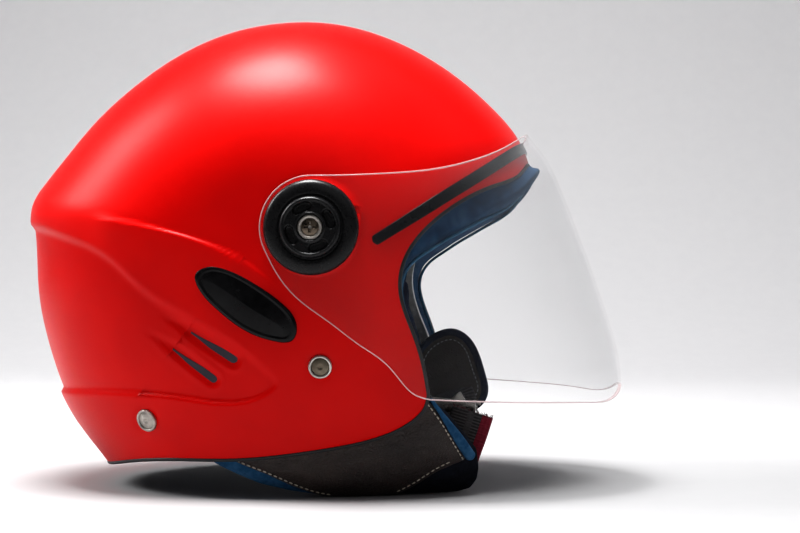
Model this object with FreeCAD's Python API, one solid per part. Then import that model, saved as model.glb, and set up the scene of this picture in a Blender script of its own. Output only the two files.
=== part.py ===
import FreeCAD, Part
import math
import os

# Open face motorcycle helmet, in millimetres.
# +X is the front of the helmet, +Y the wearer's left, +Z up.
# The origin is on the surface the helmet stands on, under the middle of its outline.

Vec = FreeCAD.Vector

# ---- driving dimensions ------------------------------------------------------
HALF_WIDTH = 121.5          # shell, at the flat of its side
SHELL_THICK = 4.0
LINER_THICK = 24.0          # polystyrene
PAD_THICK = 8.0             # comfort lining
FIT_GAP = 0.3               # between neighbouring pieces that only touch
SWELL = 2.2                 # exponent of the cross-section: 2 is an ellipse
FLAT_RADIUS = 28.0          # flat of the shell's side, about its centre
CENTRE = (-24.0, 136.5)     # centre of the shell's side view (x, z)
PIVOT = (3.0, 141.5)        # visor hinge axis (x, z)

BOSS_RADIUS = 22.5
BOSS_FACE = 122.6           # |y| of the flat the hinge stands on
BASE_FACE = 124.9           # |y| of the hinge base plate's outer face
BASE_RADIUS = 24.0
VISOR_INNER = 125.2
VISOR_OUTER = 127.0
VISOR_FLAT_RADIUS = 27.0
VISOR_THICK = VISOR_OUTER - VISOR_INNER
HUB_RADIUS = 8.0
CAP_FACE = 127.3            # |y| of the hinge cap's inner face
CAP_RADIUS = 24.5
CAP_THICK = 5.2
CAP_HUB_RADIUS = 15.5
CAP_HUB_HEIGHT = 3.6
SCREW_RADIUS = 2.5
SCREW_HEAD_RADIUS = 6.3

TRIM_WIDTH = 1.8
TRIM_LIP = 0.7
STRIP_HEIGHT = 1.2
BADGE_HEIGHT = 1.8
PANEL_DEPTH = 1.6
RIVET_HEAD_RADIUS = 6.2
RIVET_SHANK_RADIUS = 2.4
FRONT_RIVET = (6.8, 69.8)
REAR_RIVET = (-86.5, 40.4)

SKIRT_THICK = 13.5
SKIRT_INNER_END = 66.0      # |y| where the skirt's front end stops
STRAP_WIDTH = 22.0
STRAP_THICK = 1.6

STRAP_PAD_Y = (56.0, 63.5)

BUCKLE_X = (61.5, 85.5)     # housing, across the strap
BUCKLE_Y = (-46.0, -14.0)   # housing, along the strap
BUCKLE_Z = (35.0, 46.5)
PLATE = 1.4                 # buckle sheet thickness
TONGUE_Z = (BUCKLE_Z[0] + PLATE + 0.3, BUCKLE_Z[0] + PLATE + 2.1)
TONGUE_HALF = 7.0
TOOTH_PITCH = 4.0
TOOTH_HEIGHT = 1.1
PIN = (-30.0, 43.4)         # release lever's pin (y, z)
PIN_RADIUS = 1.25
SLEEVE_RADIUS = 2.1
SPRING_X = (70.0, 76.0)
SPRING_WIRE = 0.8
WING_Y = (-26.6, -19.0)
WING_END = 88.0             # x of the wing's tip

# ---- outlines, seen from the side (x, z) -------------------------------------
# Shell: radius about CENTRE at each angle, anticlockwise from the front.
SHELL_RADII = [
    (0, 146.0), (14, 145.5), (23, 144.8), (31, 140.6), (45, 134.0), (60, 129.2),
    (75, 125.8), (90, 122.4), (105, 120.2), (120, 119.0), (135, 120.2),
    (148, 124.5), (160, 131.2), (167, 138.0), (172, 142.6), (180, 141.8),
    (192, 143.4), (206, 147.8), (220, 154.6), (234, 161.5), (248, 183.0),
    (262, 200.0), (275, 205.0), (290, 202.0), (303, 201.0), (316, 197.0), (329, 177.0), (344, 154.0),
]
# Visor: radius about PIVOT. Past its own edges it only has to stay smooth.
VISOR_RADII = [
    (0, 139.6), (10, 132.6), (18, 128.8), (25.5, 124.2), (45, 122.0), (70, 122.0),
    (95, 126.0), (120, 130.0), (150, 135.0), (180, 140.0), (210, 150.0), (240, 175.0),
    (265, 215.0), (285, 226.0), (303, 222.0), (318, 206.0), (330, 189.2),
    (335.6, 179.2), (345.7, 158.4), (352.6, 147.9),
]
SHELL_BOTTOM = [
    (-124, 12), (-99, 17.5), (-68, 20.7), (-36.5, 21.4), (-5, 24.7),
    (16, 28), (37, 33.2), (54, 42), (60, 49), (61.5, 55),
]
FACE_EDGE = [
    (61.5, 55), (58.5, 72), (53.3, 88.7), (48.7, 101.6), (47.1, 112), (48.5, 122),
    (53, 132), (61, 142), (79, 156.3), (94, 164), (108.5, 171.5), (114.5, 180),
]
PANEL_TOP = [
    (-185, 146.5), (-160, 145.5), (-130, 138.5), (-105.5, 128.5), (-86, 112), (-65, 99),
    (-45, 88), (-25, 74), (-16.5, 66.5),
]
PANEL_BOTTOM = [(-16.5, 66.5), (-15.5, 61), (-25, 53), (-36, 50), (-66, 52), (-107, 53.5), (-185, 48)]
STRIP_TOP = [(32.5, 136.5), (63.5, 156), (90, 171.3), (101, 181.5), (111, 195)]
STRIP_BOTTOM = [(116, 187), (104, 175.3), (93, 165.5), (69, 151), (35.5, 132.8)]
VISOR_TOP = [(3, 168.2), (18, 168.2), (38, 169), (64, 171.4), (85.5, 177), (101, 184.4), (115, 196.5)]
VISOR_BACK = [
    (63.5, 53), (56, 55.4), (48, 63.4), (40.5, 72.1), (27.6, 81.3), (12.2, 93),
    (-3.2, 104.3), (-13.6, 116.1), (-20.5, 128),
]
VISOR_FOOT = 48.2           # z of the visor's lower edge at the front
BADGE = [
    (-57.5, 117.6), (-52, 121.4), (-42.6, 120.8), (-27.1, 113), (-11.5, 101.6), (-5, 91.5),
    (-7, 83.6), (-17, 83), (-32.3, 88.7), (-47.8, 100.6), (-55.8, 110),
]
# Vent slots: (rear end, front end), each rounded, wider at the front.
VENT_SLOTS = [((-60.6, 87.4), (-38.4, 72.9)), ((-70.6, 78.6), (-49.6, 62.8))]
VENT_RADII = (1.5, 2.5)
SKIRT_BOTTOM = [(-28, 13.6), (-8, 5.6), (10.5, 0), (80, 0)]
SKIRT_FRONT = [(80, 0), (86.5, 9), (85.5, 20), (73.5, 37), (62, 53)]
SKIRT_SEAM = [(47, -1), (60, 6), (72, 12), (90, 20)]
HEM_BACK = [(-57, 24), (-48.7, 16), (-38, 10.8), (-27.5, 6.8), (-11.5, 3.2), (6, 0.4)]
STRAP_PAD = [
    (52.6, 73.4), (62, 80.5), (70, 82.2), (77.5, 78.6), (83.5, 69.5), (87.5, 57),
    (88.8, 45), (84, 38.6), (72, 37.2), (58, 38.6), (51, 45),
]


# ---- construction helpers -----------------------------------------------------
def spline(points, closed=False):
    curve = Part.BSplineCurve()
    curve.interpolate(Points=points, PeriodicFlag=closed)
    return curve.toShape()


def side_point(xz, y=0.0):
    return Vec(xz[0], y, xz[1])


def outline(*runs):
    """A closed outline of runs: two points make a line, more make a smooth curve."""
    edges = []
    ends = []
    for run in runs:
        points = [side_point(p) for p in run]
        ends.append((points[0], points[-1]))
        if len(points) == 2:
            edges.append(Part.makeLine(points[0], points[1]))
        else:
            edges.append(spline(points))
    for here, following in zip(ends, ends[1:] + ends[:1]):
        if here[1].distanceToPoint(following[0]) > 1e-6:
            edges.append(Part.makeLine(here[1], following[0]))
    return Part.Wire(Part.__sortEdges__(edges))


def prism(wire, y_from, y_to):
    face = Part.Face(wire)
    face.translate(Vec(0, y_from, 0))
    return face.extrude(Vec(0, y_to - y_from, 0))


def polygon(points):
    return Part.makePolygon([side_point(p) for p in points + points[:1]])


def box(x, y, z):
    return Part.makeBox(x[1] - x[0], y[1] - y[0], z[1] - z[0], Vec(x[0], y[0], z[0]))


def rod_y(xz, radius, y_from, y_to):
    return Part.makeCylinder(radius, y_to - y_from, side_point(xz, y_from), Vec(0, 1, 0))


def rod_x(yz, radius, x_from, x_to):
    return Part.makeCylinder(radius, x_to - x_from, Vec(x_from, yz[0], yz[1]), Vec(1, 0, 0))


def mirrored(shape):
    """The same piece on the other side of the helmet."""
    return shape.mirror(Vec(0, 0, 0), Vec(0, 1, 0))


def moved_out(points, distances):
    """Points of an edge line shifted to its right-hand side, away from the shell."""
    if not isinstance(distances, list):
        distances = [distances] * len(points)
    found = []
    for i, (x, z) in enumerate(points):
        before = points[max(i - 1, 0)]
        after = points[min(i + 1, len(points) - 1)]
        dx = after[0] - before[0]
        dz = after[1] - before[1]
        length = math.hypot(dx, dz)
        found.append((x + dz / length * distances[i], z - dx / length * distances[i]))
    return found


def barrel(centre, radii, half_width, flat_radius, inset=0.0):
    """A rounded volume: its side view has the radii, and its cross-section is a superellipse."""
    width = half_width - inset
    sections = []
    steps = 14
    for i in range(steps + 1):
        turn = math.pi * (i / steps - 0.5)
        y = width * math.copysign(abs(math.sin(turn)) ** (2 / SWELL), turn)
        share = max(math.cos(turn), 0.0) ** (2 / SWELL)
        points = []
        for angle, radius in radii:
            reach = flat_radius + (radius - inset - flat_radius) * share
            a = math.radians(angle)
            points.append(Vec(centre[0] + reach * math.cos(a), y, centre[1] + reach * math.sin(a)))
        sections.append(Part.Wire([spline(points, closed=True)]))
    return Part.makeLoft(sections, True, False)


# The same volume is cut from several pieces, so each inset is built once.
BARRELS = {}


def head_form(inset):
    if inset not in BARRELS:
        BARRELS[inset] = barrel(CENTRE, SHELL_RADII, HALF_WIDTH, FLAT_RADIUS, inset)
    return BARRELS[inset].copy()


def layer(outer, inner, region):
    """The part of the helmet wall between two insets that lies inside a region."""
    return head_form(outer).common(region).cut(head_form(inner))


def one_side(shape, y_sign):
    """Only what lies on one side of the middle."""
    ys = (0, 300) if y_sign > 0 else (-300, 0)
    return shape.common(box((-400, 400), ys, (-200, 500)))


def ribbon(stations, width, thickness):
    """Webbing through stations of (centre, direction across it)."""
    wires = []
    for i, (centre, across) in enumerate(stations):
        before = Vec(*stations[max(i - 1, 0)][0])
        after = Vec(*stations[min(i + 1, len(stations) - 1)][0])
        along = (after - before).normalize()
        side = Vec(*across)
        side = (side - along * side.dot(along)).normalize()
        normal = along.cross(side)
        c = Vec(*centre)
        w = side * (width / 2)
        t = normal * (thickness / 2)
        wires.append(Part.makePolygon([c + w + t, c - w + t, c - w - t, c + w - t, c + w + t]))
    return Part.makeLoft(wires, True, True)


def wall_y(xz, inset):
    """|y| of the wall's surface at a place seen from the side."""
    ray = Part.makeLine(side_point(xz, 0), side_point(xz, 300))
    inside = ray.common(head_form(inset))
    return inside.BoundBox.YMax


def wall_normal(xz):
    """Outward direction of the shell's surface on the left side."""
    step = 1.5
    here = wall_y(xz, 0)
    slope_x = (wall_y((xz[0] + step, xz[1]), 0) - here) / step
    slope_z = (wall_y((xz[0], xz[1] + step), 0) - here) / step
    return Vec(-slope_x, 1, -slope_z).normalize()


def stacked(origin, direction, *discs):
    """Discs along an axis: each is (radius, from, to)."""
    solid = None
    for radius, start, end in discs:
        disc = Part.makeCylinder(radius, end - start, origin + direction * start, direction)
        solid = disc if solid is None else solid.fuse(disc)
    return solid.removeSplitter()


# ---- regions ------------------------------------------------------------------
FAR = 230.0


def wall_region(bottom_shift, face_shift):
    """Where the wall is: above the lower edge line and behind the face opening."""
    bottom = moved_out(SHELL_BOTTOM, bottom_shift)
    face = moved_out(FACE_EDGE, face_shift)
    face[0] = bottom[-1]
    corners = [face[-1], (face[-1][0] + 60, face[-1][1] + 20), (180, 330), (-FAR, 330), (-FAR, bottom[0][1])]
    lines = [[a, b] for a, b in zip(corners, corners[1:] + [bottom[0]])]
    return prism(outline(bottom, face, *lines), -FAR, FAR)


# ---- shell and what is fixed to its outside -------------------------------------
def slot_prism(ends, radii, y_from, y_to):
    """A rounded slot with a different radius at each end."""
    (x0, z0), (x1, z1) = ends
    length = math.hypot(x1 - x0, z1 - z0)
    heading = math.atan2(z1 - z0, x1 - x0)
    lean = math.acos((radii[0] - radii[1]) / length)

    def rim(x, z, radius, angle):
        return (x + radius * math.cos(heading + angle), z + radius * math.sin(heading + angle))

    start = [rim(x0, z0, radii[0], a) for a in (lean, math.pi, 2 * math.pi - lean)]
    finish = [rim(x1, z1, radii[1], a) for a in (-lean, 0, lean)]
    edges = [
        Part.Arc(*[side_point(p) for p in start]).toShape(),
        Part.makeLine(side_point(start[2]), side_point(finish[0])),
        Part.Arc(*[side_point(p) for p in finish]).toShape(),
        Part.makeLine(side_point(finish[2]), side_point(start[0])),
    ]
    return prism(Part.Wire(edges), y_from, y_to)


def rivet_axis(place):
    normal = wall_normal(place)
    return Vec(place[0], wall_y(place, 0), place[1]), normal


def make_shell():
    shell = layer(0, SHELL_THICK, wall_region(0, 0))
    boss = rod_y(PIVOT, BOSS_RADIUS, 100, BOSS_FACE).cut(head_form(SHELL_THICK))
    shell = shell.fuse([boss, mirrored(boss)])
    panel = prism(outline(PANEL_TOP, PANEL_BOTTOM), -FAR, FAR)
    shell = shell.cut(panel.cut(head_form(PANEL_DEPTH)))
    cuts = [slot_prism(s, VENT_RADII, -FAR, FAR) for s in VENT_SLOTS]
    cuts.append(rod_y(PIVOT, SCREW_RADIUS + FIT_GAP, -FAR, FAR))
    for place in (FRONT_RIVET, REAR_RIVET):
        point, normal = rivet_axis(place)
        hole = stacked(point, normal, (RIVET_SHANK_RADIUS, -12, 12))
        cuts.extend([hole, mirrored(hole)])
    return shell.cut(cuts)


def make_edge_trim():
    band = wall_region(TRIM_WIDTH, TRIM_WIDTH).cut(wall_region(0, 0))
    return layer(-TRIM_LIP, SHELL_THICK, band)


def make_brow_strip():
    region = prism(outline(STRIP_TOP, STRIP_BOTTOM), -FAR, FAR)
    front = wall_region(0, 0)
    return layer(-STRIP_HEIGHT, 0, region.common(front))


def make_badge():
    """Domed oval on the left side of the shell."""
    wire = Part.Wire([spline([side_point(p) for p in BADGE], closed=True)])
    return layer(-BADGE_HEIGHT, 0, prism(wire, 0, FAR))


def make_vent_insert():
    """The dark grille pieces that close the two slots of the left side from within."""
    slots = [slot_prism(s, VENT_RADII, 0, FAR) for s in VENT_SLOTS]
    return layer(PANEL_DEPTH + 0.8, SHELL_THICK, slots[0].fuse(slots[1]))


# ---- visor and its hinges ---------------------------------------------------------
def make_visor():
    outer = barrel(PIVOT, VISOR_RADII, VISOR_OUTER, VISOR_FLAT_RADIUS)
    inner = barrel(PIVOT, VISOR_RADII, VISOR_OUTER, VISOR_FLAT_RADIUS, VISOR_THICK)
    heel = (PIVOT[0] - 26.7 * math.cos(math.radians(30)), PIVOT[1] + 26.7 * math.sin(math.radians(30)))
    heel_arc = [VISOR_BACK[-1], (PIVOT[0] - 26.7, PIVOT[1] + 2), heel, (PIVOT[0] - 10, 166.6), VISOR_TOP[0]]
    ahead = VISOR_TOP[-1]
    lines = [
        [ahead, (ahead[0] + 90, ahead[1] + 60)],
        [(ahead[0] + 90, ahead[1] + 60), (230, VISOR_FOOT)],
        [(230, VISOR_FOOT), (166, VISOR_FOOT)],
        [(166, VISOR_FOOT), VISOR_BACK[0]],
    ]
    region = prism(outline(VISOR_BACK, heel_arc, VISOR_TOP, *lines), -FAR, FAR)
    visor = outer.common(region).cut(inner)
    return visor.cut(rod_y(PIVOT, HUB_RADIUS + 0.15, -FAR, FAR))


def make_hinge_base():
    plate = rod_y(PIVOT, BASE_RADIUS, BOSS_FACE, BASE_FACE)
    hub = rod_y(PIVOT, HUB_RADIUS, BOSS_FACE, CAP_FACE)
    bore = rod_y(PIVOT, SCREW_RADIUS + 0.1, BOSS_FACE - 1, CAP_FACE + 1)
    return plate.fuse(hub).cut(bore).removeSplitter()


def make_hinge_cap():
    disc = rod_y(PIVOT, CAP_RADIUS, CAP_FACE, CAP_FACE + CAP_THICK)
    rim = [e for e in disc.Edges if abs(e.BoundBox.YMin - (CAP_FACE + CAP_THICK)) < 1e-3 and e.Length > 50]
    disc = disc.makeFillet(2.6, rim[:1])
    top = CAP_FACE + CAP_THICK + CAP_HUB_HEIGHT
    hub = rod_y(PIVOT, CAP_HUB_RADIUS, CAP_FACE + 1, top)
    rim = [e for e in hub.Edges if abs(e.BoundBox.YMin - top) < 1e-3 and e.Length > 50]
    hub = hub.makeFillet(1.4, rim[:1])
    cap = disc.fuse(hub)
    cuts = [rod_y(PIVOT, SCREW_HEAD_RADIUS + 0.7, top - 2.6, top + 5)]
    cuts.append(rod_y(PIVOT, SCREW_RADIUS + 0.1, CAP_FACE - 1, top))
    petal_ring = 11.0
    for middle in (23, 113, 203, 293):
        ends = []
        for swing in (-20, 20):
            a = math.radians(middle + swing)
            ends.append((PIVOT[0] + petal_ring * math.cos(a), PIVOT[1] + petal_ring * math.sin(a)))
        cuts.append(slot_prism(ends, (1.9, 1.9001), top - 1.6, top + 5))
    return cap.cut(cuts)


def make_hinge_screw():
    top = CAP_FACE + CAP_THICK + CAP_HUB_HEIGHT
    seat = top - 2.6
    head = rod_y(PIVOT, SCREW_HEAD_RADIUS, seat, seat + 2.6)
    rim = [e for e in head.Edges if abs(e.BoundBox.YMin - seat - 2.6) < 1e-3 and e.Length > 20]
    head = head.makeFillet(1.6, rim[:1])
    x, z = PIVOT
    cross = box((x - 3, x + 3), (seat + 1.3, top + 3), (z - 0.7, z + 0.7))
    cross = cross.fuse(box((x - 0.7, x + 0.7), (seat + 1.3, top + 3), (z - 3, z + 3)))
    shank = rod_y(PIVOT, SCREW_RADIUS, 112.0, seat)
    return head.fuse(shank).cut(cross).removeSplitter()


def make_hinge_nut(depth):
    """Flanged nut behind the shell, on the screw's end."""
    flange = rod_y(PIVOT, 9.0, depth - 1.5, depth)
    corners = []
    for i in range(6):
        a = math.radians(60 * i)
        corners.append((PIVOT[0] + 4.6 * math.cos(a), PIVOT[1] + 4.6 * math.sin(a)))
    body = prism(polygon(corners), depth - 5.0, depth - 1.0)
    return flange.fuse(body).cut(rod_y(PIVOT, SCREW_RADIUS, 60, FAR)).removeSplitter()


def make_rivet(place, grip):
    """Rivet with a rimmed head outside and a formed tail inside, and its washer."""
    point, normal = rivet_axis(place)
    head = stacked(point, normal, (RIVET_HEAD_RADIUS, -0.6, 0.9), (RIVET_HEAD_RADIUS - 1.1, 0.9, 1.6))
    head = head.cut(stacked(point, normal, (RIVET_HEAD_RADIUS - 2.6, 1.2, 3)))
    seat = stacked(point, normal, (RIVET_HEAD_RADIUS, -0.6, 3))
    shank = stacked(point, normal, (RIVET_SHANK_RADIUS, -grip - 1.2, 0.5), (3.6, -grip - 2.4, -grip - 1.0))
    washer = stacked(point, normal, (6.5, -grip - 1.0, -grip))
    washer = washer.cut(stacked(point, normal, (RIVET_SHANK_RADIUS, -30, 5)))
    return head.fuse(shank).removeSplitter(), washer, seat


# ---- linings ------------------------------------------------------------------------
LINER_INNER = SHELL_THICK + FIT_GAP + LINER_THICK
SKIRT_INNER = SHELL_THICK + FIT_GAP + SKIRT_THICK
STRAP_LINE = [(1.0, 81.0), (6.8, 69.8), (20, 57), (34, 47), (45, 40)]


def strap_channel():
    """The gap in the left side's linings that the webbing runs through."""
    path = moved_out(STRAP_LINE, STRAP_WIDTH / 2 + 3)
    back = moved_out(STRAP_LINE, -STRAP_WIDTH / 2 - 3)
    return prism(polygon(path + back[::-1]), 0, FAR)


def make_liner():
    liner = layer(SHELL_THICK + FIT_GAP, LINER_INNER, wall_region(-13, -2.5))
    cuts = [rod_y(PIVOT, 11, 90, FAR)]
    cuts.append(strap_channel())
    point, normal = rivet_axis(REAR_RIVET)
    cuts.append(stacked(point, normal, (9, -14, 5)))
    cuts.extend([mirrored(c) for c in cuts])
    return liner.cut(cuts)


def make_crown_pad():
    region = wall_region(-20, -6).common(box((-FAR, 130), (-FAR, FAR), (122, 330)))
    return layer(LINER_INNER + FIT_GAP, LINER_INNER + PAD_THICK, region)


def make_cheek_pad():
    region = box((-34, 41), (0, FAR), (45, 118))
    region = region.common(wall_region(-18, -6))
    pad = layer(LINER_INNER + FIT_GAP, LINER_INNER + 19, region)
    return one_side(pad, 1)


def make_neck_roll():
    region = wall_region(-14, -6).common(box((-FAR, -45), (-FAR, FAR), (0, 80)))
    return layer(LINER_INNER + FIT_GAP, LINER_INNER + 14, region)


def make_rear_lining():
    """Velour rim that covers the liner's edge under the back of the shell."""
    band = wall_region(3.5, 0).cut(wall_region(-12, 0))
    band = band.common(box((-FAR, -57.5), (-FAR, FAR), (-20, 60)))
    return layer(SHELL_THICK + FIT_GAP, LINER_INNER + 14, band)


def make_face_lining():
    """Velour roll that covers the liner's edge round the face opening."""
    swell = [2.5, 2.5, 2.5, 2.5, 2.5, 4, 9, 13, 15, 15, 12, 9]
    outer = moved_out(FACE_EDGE, swell)
    inner = moved_out(FACE_EDGE, TRIM_WIDTH)
    ring = prism(outline(outer, [outer[-1], inner[-1]], inner[::-1]), -FAR, FAR)
    return layer(2.5, LINER_INNER + PAD_THICK, ring)


# ---- neck skirts, on the left side -----------------------------------------------------
def skirt_layer(region):
    return layer(SHELL_THICK + FIT_GAP, SKIRT_INNER, region)


def skirt_top():
    return moved_out(SHELL_BOTTOM, -11)


def make_skirt():
    """Leather-look pad that hangs from the lower edge, and the fabric foot under its seam."""
    top = [p for p in skirt_top() if -45 < p[0] < 56][::-1]
    region = prism(outline(SKIRT_BOTTOM[:3], SKIRT_BOTTOM[2:], SKIRT_FRONT, top), SKIRT_INNER_END, FAR)
    whole = skirt_layer(region)
    below_seam = prism(outline(SKIRT_SEAM, [SKIRT_SEAM[-1], (110, 20)], [(110, 20), (110, -20)],
                               [(110, -20), (40, -20)], [(40, -20), SKIRT_SEAM[0]]), 0, FAR)
    return whole.cut(below_seam), whole.common(below_seam)


def make_skirt_hem(skirt):
    """Velour hem along the skirt's rear lower edge."""
    top = [(-38, 33), (-57, 33)]
    region = prism(outline(HEM_BACK, SKIRT_BOTTOM[:3][::-1], top), 0, FAR)
    return skirt_layer(region).cut(skirt)


def make_skirt_piping(skirt):
    """Velour piping down the skirt's front edge."""
    outer = moved_out(SKIRT_FRONT[1:], 3.4)
    near = moved_out(SKIRT_FRONT[1:], 0.3)
    region = prism(outline(near, [near[-1], outer[-1]], outer[::-1], [outer[0], near[0]]), SKIRT_INNER_END, FAR)
    return skirt_layer(region).cut([skirt, wall_region(TRIM_WIDTH, TRIM_WIDTH)])


# ---- straps and buckle ------------------------------------------------------------------
BUCKLE_MID_X = sum(BUCKLE_X) / 2


def wall_station(xz, inset, across):
    return ((xz[0], wall_y(xz, inset), xz[1]), across)


def strap_route(free_end):
    """Left side: from the rivet, through the liner, then across under the chin."""
    insets = [6.1, 6.1, 11, 22.5, 32]
    across = (0.63, 0, 0.78)
    stations = [wall_station(p, k, across) for p, k in zip(STRAP_LINE, insets)]
    return stations + free_end


def make_strap_left(thickness=STRAP_THICK):
    """Webbing that ends over the tongue's slot."""
    over = TONGUE_Z[1] + 0.2 + STRAP_THICK / 2
    flat = [((BUCKLE_MID_X, y, over), (1, 0, 0)) for y in (44, 36, 24, 10)]
    down = [
        ((57, 73, 45), (0.75, 0, 0.6)),
        ((67, 60.5, 49), (0.9, 0, 0.4)),
        ((BUCKLE_MID_X, 51, 42.5), (1, 0, 0.1)),
    ]
    return ribbon(strap_route(down + flat), STRAP_WIDTH, thickness)


def make_strap_right():
    """Short webbing that ends over the buckle housing's bar."""
    over = BUCKLE_Z[0] + PLATE + 0.05 + STRAP_THICK / 2
    flat = [((BUCKLE_MID_X, y, over), (1, 0, 0)) for y in (56.5, 53, 49.5)]
    down = [
        ((56, 67.5, 24), (0.8, 0, 0.5)),
        ((65, 62.5, 12), (0.95, 0, 0.2)),
        ((70, 60, 8.5), (1, 0, 0.1)),
        ((73, 58.6, 16), (1, 0, 0.15)),
        ((75, 58.2, 33), (1, 0, 0.2)),
    ]
    return mirrored(ribbon(strap_route(down + flat), STRAP_WIDTH, STRAP_THICK))


def make_strap_pad():
    """Leather comfort pad over the left strap."""
    wire = Part.Wire([spline([side_point(p) for p in STRAP_PAD], closed=True)])
    sleeve = make_strap_left(STRAP_THICK + 0.6)
    return prism(wire, *STRAP_PAD_Y).cut(sleeve)


def make_buckle_housing():
    """Steel channel that the tongue slides into, with a bar for the right strap."""
    x0, x1 = BUCKLE_X
    y0, y1 = BUCKLE_Y
    z0, z1 = BUCKLE_Z
    floor = box((x0, x1), (y0 - 9, y1), (z0, z0 + PLATE))
    floor = floor.cut(box((x0 + 1.5, x1 - 1.5), (y0 - 6, y0 - 3), (z0 - 1, z1)))
    near_wall = box((x0, x0 + PLATE), (y0, y1), (z0, z1))
    far_wall = box((x1 - PLATE, x1), (y0, y1), (z0, z1))
    far_wall = far_wall.cut(box((x1 - 3, x1 + 1), (WING_Y[0] - 1.5, WING_Y[1] + 0.6), (PIN[1], z1 + 1)))
    bridge = box((x0, x1), (y0, y0 + 11), (z1 - PLATE, z1))
    lip = box((x0, x1), (y1 - 3, y1), (z1 - 2 * PLATE, z1 - PLATE))
    pin_hole = rod_x(PIN, PIN_RADIUS, x0 - 5, x1 + 5)
    return floor.fuse([near_wall, far_wall, bridge, lip]).cut(pin_hole).removeSplitter()


def make_tongue():
    """Toothed plate on the left strap's end."""
    x = (BUCKLE_MID_X - TONGUE_HALF, BUCKLE_MID_X + TONGUE_HALF)
    wide = (BUCKLE_MID_X - 12.5, BUCKLE_MID_X + 12.5)
    blade = box(x, (-40, 6), TONGUE_Z)
    head = box(wide, (4, 18), TONGUE_Z)
    slot = box((wide[0] + 1.2, wide[1] - 1.2), (10.5, 14.0), (0, 80))
    teeth = []
    for i in range(9):
        y = -38 + TOOTH_PITCH * i
        corners = [(y, TONGUE_Z[1]), (y + 3.2, TONGUE_Z[1]), (y + 3.2, TONGUE_Z[1] + TOOTH_HEIGHT)]
        tooth = Part.makePolygon([Vec(x[0] + 1, cy, cz) for cy, cz in corners + corners[:1]])
        teeth.append(Part.Face(tooth).extrude(Vec(2 * TONGUE_HALF - 2, 0, 0)))
    return blade.fuse([head] + teeth).cut(slot).removeSplitter()


def make_lever():
    """Release lever: a plate with a pawl, a sleeve round the pin and a wing for the thumb."""
    x = (BUCKLE_X[0] + PLATE + 0.4, BUCKLE_X[1] - PLATE - 0.4)
    plate = (PIN[1] + 0.9, PIN[1] + 2.2)
    arm = box(x, (PIN[0], -18.2), plate)
    wing = box((x[1] - 2, WING_END), WING_Y, plate)
    sleeve = rod_x(PIN, SLEEVE_RADIUS, x[0], x[1])
    pawl_foot = TONGUE_Z[1] + TOOTH_HEIGHT + 0.35
    pawl = box((x[0] + 4, x[1] - 4), (-21.0, -19.6), (pawl_foot, PIN[1] + 1.5))
    lever = arm.fuse([sleeve, wing, pawl])
    window = box((SPRING_X[0] - 0.8, SPRING_X[1] + 0.8), (PIN[0] - 5, PIN[0] + 4), (PIN[1] + 0.8, 60))
    window = window.cut(rod_x(PIN, SLEEVE_RADIUS, x[0], x[1]))
    return lever.cut([rod_x(PIN, PIN_RADIUS + 0.1, 0, 200), window]).removeSplitter()


def make_lever_pin():
    """Pin with a formed head at each end."""
    x0, x1 = BUCKLE_X
    heads = [rod_x(PIN, 2.1, x0 - 0.8, x0), rod_x(PIN, 2.1, x1, x1 + 0.8)]
    return rod_x(PIN, PIN_RADIUS, x0 - 0.8, x1 + 0.8).fuse(heads).removeSplitter()


def make_lever_spring():
    """Torsion spring round the lever's sleeve."""
    radius = SLEEVE_RADIUS + 0.1 + SPRING_WIRE / 2
    helix = Part.makeHelix(1.2, SPRING_X[1] - SPRING_X[0], radius)
    section = Part.Wire([Part.makeCircle(SPRING_WIRE / 2, Vec(radius, 0, 0), Vec(0, 1, 0))])
    coil = Part.Wire(helix.Edges).makePipeShell([section], True, True)
    coil.rotate(Vec(0, 0, 0), Vec(0, 1, 0), 90)
    coil.translate(Vec(SPRING_X[0], PIN[0], PIN[1]))
    return coil


# ---- the whole helmet -----------------------------------------------------------------
def export(name, shape):
    shape.exportStep(os.path.join("parts", name + ".step"))
    solids = len(shape.Solids)
    limits = shape.optimalBoundingBox()
    spans = [limits.XMin, limits.XMax, limits.YMin, limits.YMax, limits.ZMin, limits.ZMax]
    print(name, solids, "solids", round(shape.Volume), "mm3", [round(v, 1) for v in spans])
    if not shape.isValid():
        raise ValueError(name + " is not a valid solid")


def export_pair(name, left):
    export(name + "_left", left)
    export(name + "_right", mirrored(left))


def make_rivets():
    """Rivets, washers and the flat seats that the heads stand on, for both sides."""
    front, front_washer, front_seat = make_rivet(FRONT_RIVET, 8.8)
    rear, rear_washer, rear_seat = make_rivet(REAR_RIVET, 4.2)
    return (front, rear), (front_washer, rear_washer), (front_seat, rear_seat)


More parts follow.
